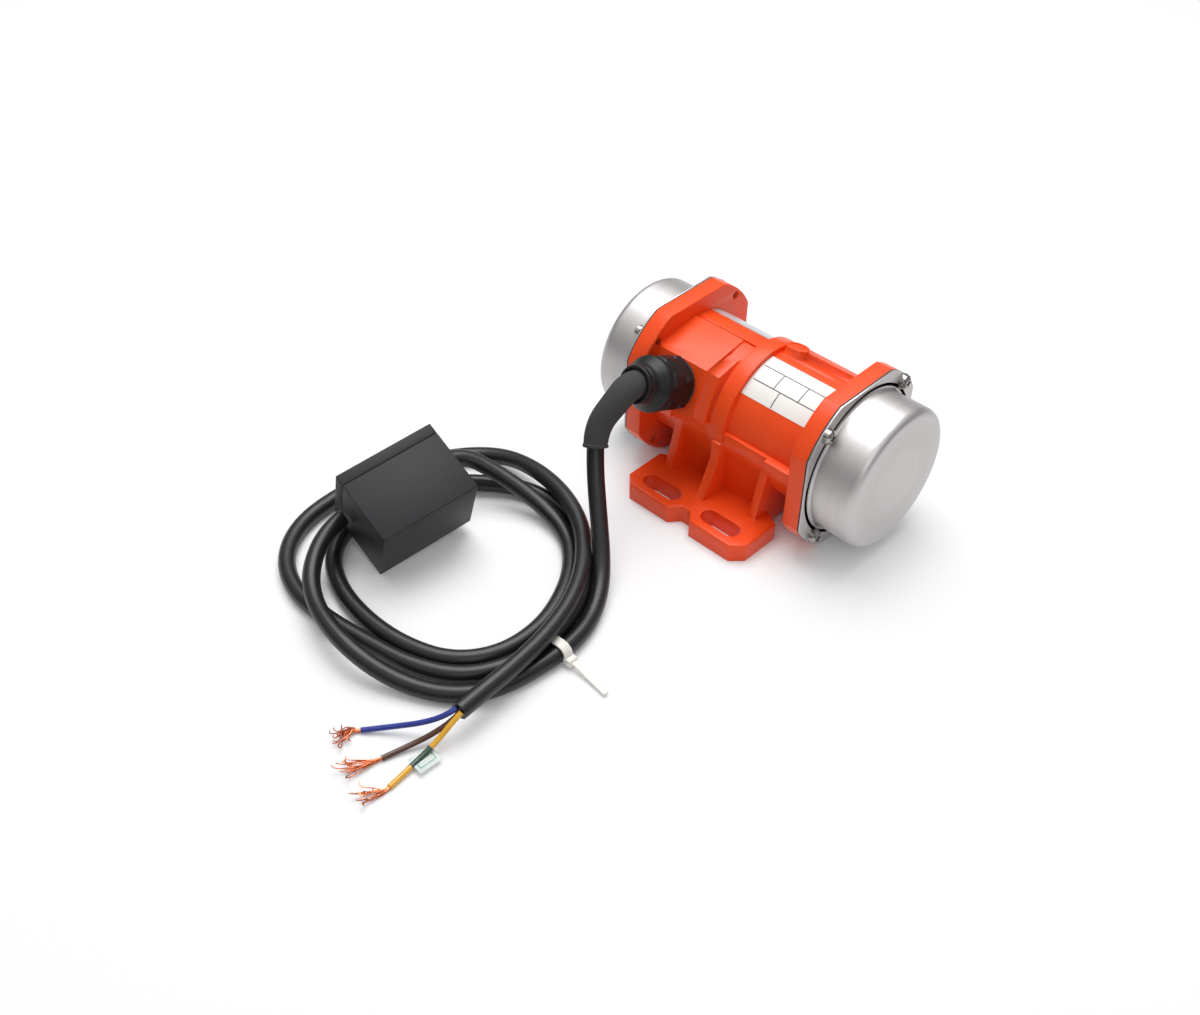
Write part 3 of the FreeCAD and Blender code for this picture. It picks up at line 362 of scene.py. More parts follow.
def lathe(corners: Sequence[tuple[float, ...]], steps: int = 96, closed: bool = False,
          segments: int = 4) -> bmesh.types.BMesh:
    """Spin a profile of (x, radius) corners about the X axis.

    Args:
        corners: (x, radius) or (x, radius, rounding).
        steps: the pieces of a full turn.
        closed: joins the profile's last corner with its first.
        segments: the pieces of each round.

    Returns:
        The turned shape.
    """
    bm = bmesh.new()
    ring = [bm.verts.new(p) for p in rounded_profile(corners, segments)]
    pairs = list(zip(ring, ring[1:])) + ([(ring[-1], ring[0])] if closed else [])
    edges = [bm.edges.new(pair) for pair in pairs]
    bmesh.ops.spin(bm, geom=ring + edges, cent=(0, 0, 0), axis=(1, 0, 0), angle=math.tau, steps=steps,
                   use_merge=True, use_duplicate=False)
    bmesh.ops.remove_doubles(bm, verts=bm.verts, dist=SPUN_MERGE)
    return bm


def soften(bm: bmesh.types.BMesh, edges: Sequence[bmesh.types.BMEdge], reach: float,
           segments: int = 2) -> None:
    """Round some edges of a shape.

    Args:
        bm: the shape.
        edges: the edges.
        reach: how far the round reaches on each side.
        segments: the pieces of each round.
    """
    bmesh.ops.bevel(bm, geom=list(edges), offset=reach, offset_type="OFFSET", segments=segments, profile=0.5,
                    affect="EDGES", clamp_overlap=True, material=-1)


def sharp_edges(bm: bmesh.types.BMesh) -> list[bmesh.types.BMEdge]:
    """Return the edges of a thin sheet where its face turns into its side."""
    return [edge for edge in bm.edges if edge.is_manifold and edge.calc_face_angle(0) > math.radians(60)]


def slice_across(bm: bmesh.types.BMesh, start: float, length: float, pieces: int) -> None:
    """Cut a straight shape across X at even steps, so that it can bend.

    Args:
        bm: the shape.
        start: where the run of pieces starts.
        length: the run's length.
        pieces: how many pieces it becomes.
    """
    for step in range(1, pieces):
        bmesh.ops.bisect_plane(bm, geom=bm.verts[:] + bm.edges[:] + bm.faces[:], dist=MERGE,
                               plane_co=(start + length * step / pieces, 0, 0), plane_no=(1, 0, 0))


def raise_faces(bm: bmesh.types.BMesh, height: float) -> None:
    """Pull a flat shape up into a slab.

    Args:
        bm: the flat shape.
        height: the slab's height.
    """
    grown = bmesh.ops.extrude_face_region(bm, geom=bm.faces[:])
    top = [item for item in grown["geom"] if isinstance(item, bmesh.types.BMVert)]
    bmesh.ops.translate(bm, vec=(0, 0, height), verts=top)


def block(size: Point, centre: Point, bevel: float, segments: int = 2) -> bmesh.types.BMesh:
    """A block with softened edges.

    Args:
        size: its three sizes.
        centre: its middle.
        bevel: how far its edges are broken.
        segments: the pieces of each round.

    Returns:
        The block.
    """
    bm = bmesh.new()
    bmesh.ops.create_cube(bm, size=1.0)
    bmesh.ops.scale(bm, vec=size, verts=bm.verts)
    if bevel:
        soften(bm, bm.edges[:], bevel, segments)
    bmesh.ops.translate(bm, vec=centre, verts=bm.verts)
    return bm


def joined(parts: Sequence[bmesh.types.BMesh]) -> bmesh.types.BMesh:
    """Bring several shapes into one mesh and free them.

    Args:
        parts: the shapes.

    Returns:
        One shape that holds them all.
    """
    whole = bmesh.new()
    for part in parts:
        passing = bpy.data.meshes.new("passing")
        part.to_mesh(passing)
        part.free()
        whole.from_mesh(passing)
        bpy.data.meshes.remove(passing)
    return whole


def carve(bm: bmesh.types.BMesh, sides: int, flat: float, start: float, end: float) -> None:
    """Cut flats into a shape turned about X, between two places along it.

    Args:
        bm: the turned shape.
        sides: how many flats.
        flat: how far each flat lies from the axis.
        start: where they start.
        end: where they end.
    """
    wedge = math.tau / sides
    for vert in bm.verts:
        around = Vector((vert.co.y, vert.co.z))
        if not start <= vert.co.x <= end or around.length < 1e-6:
            continue
        off = (math.atan2(around.y, around.x) + wedge / 2) % wedge - wedge / 2
        limit = flat / math.cos(off)
        if around.length > limit:
            around *= limit / around.length
            vert.co.y, vert.co.z = around


def wrapped(across: tuple[float, float], around_deg: tuple[float, float], radius: float,
            thick: float) -> bmesh.types.BMesh:
    """A thin patch laid on a round about the shaft's line.

    Args:
        across: where it starts and ends along the shaft.
        around_deg: where it starts and ends round it, from the top toward the near side.
        radius: the round under it.
        thick: its thickness.

    Returns:
        The patch.
    """
    steps = max(2, round(abs(around_deg[1] - around_deg[0]) / PATCH_STEP_DEG))
    bm = bmesh.new()
    bmesh.ops.create_grid(bm, x_segments=2, y_segments=steps, size=0.5)
    raise_faces(bm, 1)
    for vert in bm.verts:
        turn = math.radians(around_deg[0] + (vert.co.y + 0.5) * (around_deg[1] - around_deg[0]))
        reach = radius + vert.co.z * thick
        vert.co = Vector((across[0] + (vert.co.x + 0.5) * (across[1] - across[0]),
                          -reach * math.sin(turn), AXIS_HEIGHT + reach * math.cos(turn)))
    return bm


@dataclass
class Course:
    """A smooth course through space: the uniform quadratic curve of its points, with clamped ends."""

    route: Sequence[Point]
    per_span: int = 16
    spots: list[Vector] = field(init=False)
    reached: list[float] = field(init=False)
    sides: list[Vector] = field(init=False)

    def __post_init__(self) -> None:
        """Sample the curve, its length so far and a side direction that doesn't twist."""
        points = [Vector(p) for p in self.route]
        count = len(points)
        knots = [0.0] * 3 + [float(i) for i in range(1, count - 2)] + [float(count - 2)] * 3
        self.spots = [points[0]]
        for span in range(count - 2):
            low, high = knots[span + 2], knots[span + 3]
            for step in range(1, self.per_span + 1):
                u = low + (high - low) * step / self.per_span
                layer = [points[span + j] for j in range(3)]
                for level in (1, 2):
                    for j in range(2, level - 1, -1):
                        i = span + j
                        share = (u - knots[i]) / (knots[i + 3 - level] - knots[i])
                        layer[j] = layer[j - 1].lerp(layer[j], share)
                self.spots.append(layer[2])
        self.reached = [0.0]
        for before, after in zip(self.spots, self.spots[1:]):
            self.reached.append(self.reached[-1] + (after - before).length)
        side = (self.spots[1] - self.spots[0]).orthogonal().normalized()
        self.sides = []
        for index in range(len(self.spots)):
            along = self.along(index)
            side = (side - along * side.dot(along)).normalized()
            self.sides.append(side)

    def along(self, index: int) -> Vector:
        """Return the direction at one sample."""
        last = len(self.spots) - 1
        return (self.spots[min(index + 1, last)] - self.spots[max(index - 1, 0)]).normalized()

    @property
    def length(self) -> float:
        """The course's length in millimetres."""
        return self.reached[-1]

    def bend(self, bm: bmesh.types.BMesh) -> bmesh.types.BMesh:
        """Bend a straight shape, made along X from zero, so that it follows the course.

        Args:
            bm: the straight shape.

        Returns:
            The same shape, bent.
        """
        for vert in bm.verts:
            index = min(max(bisect_right(self.reached, vert.co.x) - 1, 0), len(self.spots) - 2)
            span = self.reached[index + 1] - self.reached[index]
            past = vert.co.x - self.reached[index]
            share = min(max(past / span, 0.0), 1.0)
            along = self.along(index).lerp(self.along(index + 1), share).normalized()
            side = self.sides[index].lerp(self.sides[index + 1], share)
            side = (side - along * side.dot(along)).normalized()
            spot = self.spots[index].lerp(self.spots[index + 1], share) + along * (past - share * span)
            vert.co = spot + side * vert.co.y + along.cross(side) * vert.co.z
        return bm


# --- the motor ------------------------------------------------------------------------------------


@dataclass
class Casting:
    """The painted die casting: the CAD solid with its outward edges rounded as a casting's are."""

    edge_round: float = 0.7
    least_turn_deg: float = 24.0
    merge: float = 0.002
    flat_deg: float = 0.5
    smooth_deg: float = 40.0

    def build(self) -> None:
        """Make the casting from the CAD node's own mesh, which is in metres."""
        bm = bmesh.new()
        bm.from_mesh(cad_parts["housing"].data)
        bmesh.ops.remove_doubles(bm, verts=bm.verts, dist=self.merge * MM)
        bmesh.ops.dissolve_limit(bm, angle_limit=math.radians(self.flat_deg), verts=bm.verts, edges=bm.edges)
        least = math.radians(self.least_turn_deg)
        edges = [e for e in bm.edges if e.is_manifold and e.calc_face_angle_signed(0.0) > least]
        soften(bm, edges, self.edge_round * MM, 3)
        mesh = to_mesh(bm, "casting", self.smooth_deg, scale=1.0)
        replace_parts(finished("casting", mesh, ORANGE_PAINT), "housing")


@dataclass
class Labels:
    """The white label with its bare ruled fields and the silver label behind the top."""

    surface: float = 31.04
    thick: float = 0.14
    rule: float = 0.5
    ink: float = 0.03
    margins: tuple[float, float] = (1.2, 0.6)
    white_across: tuple[float, float] = (2.2, 41.0)
    white_around: tuple[float, float] = (1.9, 46.0)
    foil_across: tuple[float, float] = (-46.0, -9.2)
    foil_around: tuple[float, float] = (-58.0, -19.0)
    long_rules: Sequence[float] = (14.6, 30.4)
    short_rules: Sequence[tuple[float, float, float]] = (
        (15.0, 14.6, 30.4), (28.8, 14.6, 30.4), (18.9, 30.4, 46.0))

    def rules(self) -> bmesh.types.BMesh:
        """The printed lines, as thin raised strips.

        Returns:
            The strips, the long ones first.
        """
        top = self.surface + self.thick
        half = self.rule / 2
        half_turn = math.degrees(half / top)
        across = self.white_across[0] + self.margins[0], self.white_across[1] - self.margins[1]
        parts = [wrapped(across, (turn - half_turn, turn + half_turn), top, self.ink)
                 for turn in self.long_rules]
        parts += [wrapped((x - half, x + half), (low + half_turn, high - half_turn), top, self.ink)
                  for x, low, high in self.short_rules]
        return joined(parts)

    def build(self) -> None:
        """Lay both labels and the rules."""
        white = wrapped(self.white_across, self.white_around, self.surface, self.thick)
        foil = wrapped(self.foil_across, self.foil_around, self.surface, self.thick)
        for name, bm, finish, slot in (("rating_label", white, LABEL_VINYL, "white_plastic"),
                                       ("rating_label_rules", self.rules(), LABEL_INK, "black_plastic"),
                                       ("foil_label", foil, LABEL_FOIL, "bright_steel")):
            finished(name, to_mesh(bm, name), finish)


@dataclass
class EndCovers:
    """The two deep-drawn covers: a cup and its thin square plate, in one sheet."""

    plate_start: float = 53.2
    steel: float = 0.8
    radius: float = 35.0
    end: float = 76.5
    rim: float = 4.2
    flare: float = 1.4
    foot: float = 3.0
    foot_sunk: float = 0.02
    half_width: float = 39.0
    half_height: float = 39.5
    corner_round: float = 43.8
    plate_edge: float = 0.18

    def cup(self) -> bmesh.types.BMesh:
        """The cup, turned about the shaft's line.

        Returns:
            The cup with its narrow foot inside the plate.
        """
        top, under = self.plate_start + self.steel, self.plate_start + self.foot_sunk
        inside = self.radius - self.steel
        return lathe([
            (self.end, 0.0), (self.end, self.radius, self.rim), (top, self.radius, self.flare),
            (top, self.radius + self.foot), (under, self.radius + self.foot), (under, inside),
            (self.end - self.steel, inside, self.rim - self.steel), (self.end - self.steel, 0.0),
        ], steps=144, segments=7)

    def plate(self) -> bmesh.types.BMesh:
        """The square plate whose corners follow a round about the shaft.

        Returns:
            The plate, its edges broken.
        """
        bm = bmesh.new()
        bmesh.ops.create_circle(bm, cap_ends=True, radius=self.corner_round, segments=160)
        for across, reach in (((1, 0, 0), self.half_width), ((0, 1, 0), self.half_height)):
            for sign in (1, -1):
                outward = Vector(across) * sign
                bmesh.ops.bisect_plane(bm, geom=bm.verts[:] + bm.edges[:] + bm.faces[:], dist=1e-4,
                                       plane_co=outward * reach, plane_no=outward, clear_outer=True)
        raise_faces(bm, self.steel)
        bmesh.ops.recalc_face_normals(bm, faces=bm.faces)
        soften(bm, sharp_edges(bm), self.plate_edge)
        turn = Matrix(((0, 0, 1), (1, 0, 0), (0, 1, 0))).to_4x4()
        bmesh.ops.transform(bm, matrix=Matrix.Translation((self.plate_start, 0, 0)) @ turn, verts=bm.verts)
        return bm

    def build(self) -> None:
        """Make both covers; the left one is the right one turned round."""
        for side, turn in (("right", 0.0), ("left", math.pi)):
            name = f"steel_cover_{side}"
            bm = joined([self.cup(), self.plate()])
            place = Matrix.Translation((0, 0, AXIS_HEIGHT)) @ Matrix.Rotation(turn, 4, "Z")
            bmesh.ops.transform(bm, matrix=place, verts=bm.verts)
            piece = finished(name, to_mesh(bm, name, sharp_deg=35.0), DRAWN_STEEL)
            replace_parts(piece, f"end_cover_{side}")


@dataclass
class CableGland:
    """The gland on the tilted pad: hexagonal body, domed nut and the rubber sleeve over the cable."""

    at_x: float = -29.6
    face: float = 36.8
    tilt_deg: float = 26.0
    seal: float = 1.0
    sides: int = 6
    body_bore: float = 5.6
    body_flat: float = 12.0
    body_radius: float = 13.7
    body_gap: float = 0.05
    nut_start: float = 7.0
    nut_bore: float = 7.45
    nut_radius: float = 13.4
    nut_flat: float = 12.55
    nut_length: float = 23.0
    dome_mouth: float = 8.9
    sleeve_start: float = 12.0
    sleeve_radius: float = 6.5
    sleeve_end_radius: float = 5.5
    sleeve_lip: float = 5.9
    sleeve_past_nut: float = 3.0
    sleeve_bow: Point = (0.2, -8.6, -4.0)
    sleeve_run_in: float = 7.5
    sleeve_over_cable: float = 1.5
    taper_from: float = 0.45
    cable_radius: float = 4.0
    cable_gap: float = 0.35

    @property
    def outward(self) -> Vector:
        """The direction in which the gland's axis leaves the pad."""
        tilt = math.radians(self.tilt_deg)
        return Vector((0, -math.cos(tilt), math.sin(tilt)))

    @property
    def foot(self) -> Vector:
        """Where the gland's axis leaves the pad's face."""
        return Vector((self.at_x, 0, AXIS_HEIGHT)) + self.outward * self.face

    def place(self) -> Matrix:
        """The gland's frame: X along its axis, outward from the pad's face.

        Returns:
            What brings a shape made along X to the gland's place.
        """
        side = Vector((1, 0, 0))
        turn = Matrix((self.outward, side, self.outward.cross(side))).transposed().to_4x4()
        return Matrix.Translation(self.foot) @ turn

    def body(self) -> bmesh.types.BMesh:
        """The hexagon that is held while the nut is turned, its corners chamfered.

        Returns:
            The body, along X from the pad's face.
        """
        start, end = self.seal, self.nut_start - self.body_gap
        bore, wide = self.body_bore, self.body_radius
        bm = lathe([
            (start, bore), (start, wide - 0.9), (start + 0.8, wide), (end - 0.9, wide), (end, wide - 1.0),
            (end, bore),
        ], steps=120, closed=True)
        carve(bm, self.sides, self.body_flat, start - 1, end + 1)
        return bm

    def nut(self) -> bmesh.types.BMesh:
        """The domed nut: six flats on its skirt, a groove under the dome and a thick mouth.

        Returns:
            The nut, along X from the pad's face.
        """
        start, skirt, end = self.nut_start, self.nut_radius, self.nut_start + self.nut_length
        bore, mouth = self.nut_bore, self.dome_mouth
        bm = lathe([
            (start, bore), (start, skirt - 0.7), (start + 0.7, skirt), (start + 8.6, skirt),
            (start + 9.3, skirt - 0.9), (start + 10.0, skirt - 0.9), (start + 10.4, skirt - 0.2, 0.4),
            (start + 12.6, skirt - 0.4, 2.0), (start + 16.6, skirt - 3.9, 2.6), (end - 3.8, mouth, 0.5),
            (end - 3.2, mouth - 0.4), (end - 2.6, mouth + 0.2, 0.3), (end, mouth, 0.8), (end, bore, 0.3),
            (end - 2.2, bore - 0.25), (end - 2.2, bore - 0.35),
        ], steps=120, closed=True)
        carve(bm, self.sides, self.nut_flat, start - 0.1, start + 9.4)
        return bm

    def sleeve(self) -> bmesh.types.BMesh:
        """The rubber sleeve, which narrows toward the lip where the cable leaves it.

        Returns:
            The sleeve, in its place.
        """
        leaves, onward = Vector(MOTOR_ROUTE[0]), Vector(MOTOR_ROUTE[1])
        down = (onward - leaves).normalized()
        mouth = self.foot + self.outward * (self.nut_start + self.nut_length + self.sleeve_past_nut)
        start = self.foot + self.outward * self.sleeve_start
        course = Course([start, start.lerp(mouth, 0.5), mouth, mouth + Vector(self.sleeve_bow),
                         leaves - down * self.sleeve_run_in, leaves + down * self.sleeve_over_cable])
        end, wide, narrow = course.length, self.sleeve_radius, self.sleeve_end_radius
        lip, hole, steps = self.sleeve_lip, self.cable_radius + self.cable_gap, 40
        profile = [(0.0, 0.0)]
        for step in range(steps - 1):
            tapered = max(0.0, (step / steps - self.taper_from) / (1 - self.taper_from))
            profile.append((end * step / steps, wide + (narrow - wide) * tapered))
        profile += [(end - 1.5, narrow), (end - 1.1, lip, 0.25), (end, lip - 0.1, 0.3), (end, hole, 0.2),
                    (end - 1.4, hole), (end - 1.5, 0.0)]
        return course.bend(lathe(profile, steps=48))

    def build(self) -> None:
        """Make the body, the nut and the sleeve."""
        for name, node, bm in (("gland_hex_body", "gland_body", self.body()),
                               ("gland_dome_nut", "gland_nut", self.nut())):
            bmesh.ops.transform(bm, matrix=self.place(), verts=bm.verts)
            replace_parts(finished(name, to_mesh(bm, name), GLAND_NYLON), node)
        sleeve = to_mesh(self.sleeve(), "rubber_sleeve")
        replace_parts(finished("rubber_sleeve", sleeve, BLACK_RUBBER), "cable_sleeve")


# --- cords ----------------------------------------------------------------------------------------


@dataclass
class Cord:
    """A free round cord on its route."""

    name: str
    route: Sequence[Point]
    diameter: float
    finish: Finish
    slot: str
    stands_for: Sequence[str]
    far_end: str
    stiffness: str
    lay: str
    resolution: int = 8

    @property
    def length(self) -> float:
        """The route's length in metres."""
        return Course(self.route).length * MM

    def build(self) -> bpy.types.Object:
        """Returns:
            The cord.
        """
        curve = bpy.data.curves.new(self.name, "CURVE")
        curve.dimensions = "3D"
        curve.bevel_depth = self.diameter / 2 * MM
        curve.bevel_resolution = 5
        curve.use_fill_caps = True
        spline = curve.splines.new("NURBS")
        spline.points.add(len(self.route) - 1)
        for knot, point in zip(spline.points, self.route):
            knot.co = (*(Vector(point) * MM), 1.0)
        spline.order_u = 3
        spline.use_endpoint_u = True
        spline.resolution_u = self.resolution
        spline.use_smooth = True
        piece = finished(self.name, curve, self.finish)
        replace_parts(piece, *self.stands_for)
        self.length
        log.info("%s is %.0f mm long", self.name, self.length / MM)
        return piece


MOTOR_ROUTE: list[Point] = [
    (-29.6, -84.4, 49.3), (-26.7, -87.6, 42.3), (-20.3, -93.1, 32.6), (-12.0, -99.7, 22.2),
    (-3.2, -107.0, 13.0), (5.4, -116.3, 6.4), (12.9, -128.4, 4.1), (17.9, -142.0, 4.2), (19.2, -156.3, 4.3),
    (18.1, -170.8, 4.2), (15.7, -185.2, 4.3), (9.5, -198.1, 4.3), (-1.4, -207.4, 4.1), (-14.4, -214.0, 5.1),
    (-27.5, -218.9, 8.8), (-41.1, -220.8, 12.3), (-55.4, -219.3, 12.9), (-69.6, -215.4, 12.9),
    (-82.4, -208.4, 14.3), (-91.8, -197.6, 17.2), (-96.6, -186.1, 19.9), (-98.0, -177.6, 20.6),
]
MAINS_ROUTE: list[Point] = [
    (-92.8, -125.6, 24.0), (-92.1, -111.8, 23.9), (-76.0, -102.8, 15.9), (-53.7, -97.6, 8.0),
    (-32.4, -100.0, 4.0), (-15.2, -113.3, 4.2), (-3.2, -132.1, 4.4), (3.4, -152.7, 4.2), (1.6, -174.6, 4.1),
    (-10.2, -191.4, 4.2), (-31.4, -199.5, 4.2), (-54.6, -201.1, 4.2), (-77.7, -197.2, 4.2),
    (-97.6, -186.5, 4.2), (-108.5, -166.4, 4.2), (-110.3, -142.6, 4.2), (-102.6, -121.3, 4.2),
    (-87.0, -104.5, 4.2), (-68.2, -91.9, 4.2), (-44.8, -88.9, 4.3), (-22.1, -96.1, 4.3),
    (-6.2, -111.6, 4.1), (5.5, -131.6, 4.1), (11.4, -151.7, 4.2), (9.9, -175.1, 4.2), (-0.2, -194.0, 4.2),
    (-20.4, -204.9, 4.2), (-43.8, -209.3, 4.2), (-66.5, -212.6, 4.2), (-89.4, -212.6, 4.2),
    (-110.5, -203.2, 4.2), (-123.9, -184.6, 4.2), (-127.3, -161.9, 4.2), (-125.1, -139.2, 4.3),
    (-118.3, -116.8, 4.2), (-107.8, -95.8, 4.1), (-90.2, -84.2, 6.7), (-67.3, -84.5, 11.4),
    (-44.2, -89.2, 13.0), (-23.7, -98.6, 12.7), (-7.0, -114.1, 12.5), (5.5, -133.2, 12.6),
    (13.0, -154.9, 12.6), (16.4, -178.1, 12.6), (17.5, -198.9, 12.6), (18.4, -211.6, 12.6),
]
CORE_ROUTES: dict[str, list[Point]] = {
    "core_blue": [(16.9, -211.7, 13.3), (15.9, -216.0, 11.8), (9.6, -222.6, 7.6), (0.4, -229.4, 3.4),
                  (-9.8, -240.2, 1.4)],
    "core_brown": [(18.3, -211.7, 11.0), (17.9, -216.0, 9.2), (14.6, -223.4, 5.0), (10.4, -232.0, 1.8),
                   (7.2, -243.4, 1.3)],
    "core_yellow": [(19.9, -211.7, 13.2), (19.7, -216.0, 11.2), (18.9, -223.0, 6.0), (18.6, -233.6, 1.9),
                    (20.2, -250.4, 1.3)],
}


@dataclass
class Cables:
    """The motor's cable, the mains cable and its three cores."""

    diameter: float = 8.0
    core_diameter: float = 2.4

    def build(self) -> None:
        """Lay every cord."""
        Cord("motor_lead", MOTOR_ROUTE, self.diameter, CABLE_PVC, "cable_black", ["motor_cable"], "object",
             "medium", "coiled").build()
        Cord("mains_lead", MAINS_ROUTE, self.diameter, CABLE_PVC, "cable_black", ["cable_coil", "mains_tail"],
             "bare", "medium", "coiled").build()
        for node, finish in (("core_blue", BLUE_PVC), ("core_brown", BROWN_PVC), ("core_yellow", YELLOW_PVC)):
            slot = node.replace("core_", "") + "_insulation"
            Cord(f"{node}_insulation", CORE_ROUTES[node], self.core_diameter, finish, slot, [node], "bare",
                 "limp", "loose").build()


@dataclass
class CableTie:
    """The nylon tie round the coil's lower turns: band, head and tail."""

    left: float = 6.9
    right: float = 24.0
    front: float = -157.2
    width: float = 4.6
    low: float = 0.05
    high: float = 9.6
    thick: float = 1.1
    corner: float = 3.4
    edge: float = 0.3
    head: Point = (4.4, 5.2, 3.8)
    head_height: float = 3.2
    tail_start: Point = (-1.0, 0.0, 4.0)
    tail_dips: tuple[Point, Point] = ((5.0, 0.0, 3.4), (14.0, -0.6, 1.5))
    tail_end: Point = (47.5, -156.6, 1.6)
    tail_narrower: float = 1.8
    tail_thinner: float = 0.2

    def band(self) -> bmesh.types.BMesh:
        """The closed loop, with rounded corners; its sheet lies inside the outline's edge.

        Returns:
            The loop.
        """
        low, high, inset = self.low, self.high, self.thick
        middle = (self.left + self.right) / 2
        corners = [(middle, low + inset), (self.right - inset, low + inset, self.corner),
                   (self.right - inset, high - inset, self.corner),
                   (self.left + inset, high - inset, self.corner),
                   (self.left + inset, low + inset, self.corner), (middle, low + inset)]
        bm = bmesh.new()
        ring = [bm.verts.new((p.x, 0, p.y)) for p in rounded_profile(corners, 6)[:-1]]
        loop = [bm.edges.new(pair) for pair in zip(ring, ring[1:] + ring[:1])]
        grown = bmesh.ops.extrude_edge_only(bm, edges=loop)
        far = [item for item in grown["geom"] if isinstance(item, bmesh.types.BMVert)]
        bmesh.ops.translate(bm, vec=(0, self.width, 0), verts=far)
        bmesh.ops.recalc_face_normals(bm, faces=bm.faces)
        face = bm.faces[:][0]
        points_out = face.normal.dot(face.calc_center_median() - Vector((middle, 0, high / 2))) > 0
        bmesh.ops.solidify(bm, geom=bm.faces[:], thickness=-inset if points_out else inset)
        soften(bm, sharp_edges(bm), self.edge)
        bmesh.ops.translate(bm, vec=(0, self.front, 0), verts=bm.verts)
        return bm

    def tail(self) -> bmesh.types.BMesh:
        """The tail, which runs out of the head and comes down to the floor, its broad face level.

        Returns:
            The tail.
        """
        root = Vector((self.right, self.front + self.width / 2, 0))
        stops = [root + Vector(step) for step in (self.tail_start, *self.tail_dips)]
        course = Course([*stops, Vector(self.tail_end)])
        up = Vector((0, 0, 1))
        course.sides = [up.cross(course.along(index)).normalized() for index in range(len(course.spots))]
        size = (course.length, self.width - self.tail_narrower, self.thick - self.tail_thinner)
        bm = block(size, (course.length / 2, 0, 0), 0.2)
        slice_across(bm, 0.0, course.length, 24)
        return course.bend(bm)

    def build(self) -> None:
        """Make the tie in one piece."""
        head = block(self.head, (self.right + 0.6, self.front + self.width / 2, self.head_height), 0.7, 3)
        whole = joined([self.band(), head, self.tail()])
        mesh = to_mesh(whole, "nylon_cable_tie", sharp_deg=40.0)
        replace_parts(finished("nylon_cable_tie", mesh, TIE_NYLON), "cable_tie")


@dataclass
class CopperEnds:
    """The frayed copper strands at the cores' ends."""

    seed: int = 40
    strands: int = 15
    radius: float = 0.26
    rings: int = 14
    fan: tuple[float, float] = (0.2, 0.8)
    lift: tuple[float, float] = (-0.8, 2.6)
    curl: Sequence[tuple[float, float]] = ((-2.5, 2.5), (-1.0, 3.0), (-0.5, 1.5))
    spread: dict[str, tuple[Point, Point, float]] = field(default_factory=lambda: {
        "core_blue": ((-13.5, -243.0, 2.0), (-12.5, -250.5, 2.2), 3.2),
        "core_brown": ((5.2, -250.5, 1.8), (2.4, -259.0, 2.2), 3.4),
        "core_yellow": ((18.6, -255.5, 1.8), (17.0, -261.0, 2.2), 3.8),
    })

    def strand(self, course: Course) -> bmesh.types.BMesh:
        """Return one strand along its course."""
        rings = [(course.length * step / self.rings, self.radius) for step in range(self.rings + 1)]
        return course.bend(lathe([(0.0, 0.0), *rings, (course.length, 0.0)], steps=6))

    def build(self) -> None:
        """Splay every core's strands from its end."""
        draw = random.Random(self.seed)
        parts = []
        for node, (middle, tip, swing) in self.spread.items():
            route = CORE_ROUTES[node]
            end = Vector(route[-1])
            along = (end - Vector(route[-2])).normalized()
            for index in range(self.strands):
                turn = math.tau * index / self.strands
                ring = Vector((math.cos(turn), 0, math.sin(turn))) * draw.uniform(*self.fan)
                sway = Vector((draw.uniform(-1, 1), draw.uniform(-1, 1), 0)) * swing
                lift = Vector((0, 0, draw.uniform(*self.lift)))
                curl = Vector([draw.uniform(*span) for span in self.curl])
                stops = [end + ring - along * 0.4, end + ring + along * 2.5,
                         Vector(middle) + ring * 2 + sway * 0.5,
                         Vector(tip) + sway + lift, Vector(tip) + sway + lift + curl]
                for stop in stops:
                    stop.z = max(stop.z, self.radius + 0.1)
                parts.append(self.strand(Course(stops)))
        whole = to_mesh(joined(parts), "frayed_copper", sharp_deg=60.0)
        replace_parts(finished("frayed_copper", whole, COPPER), "copper_strands")


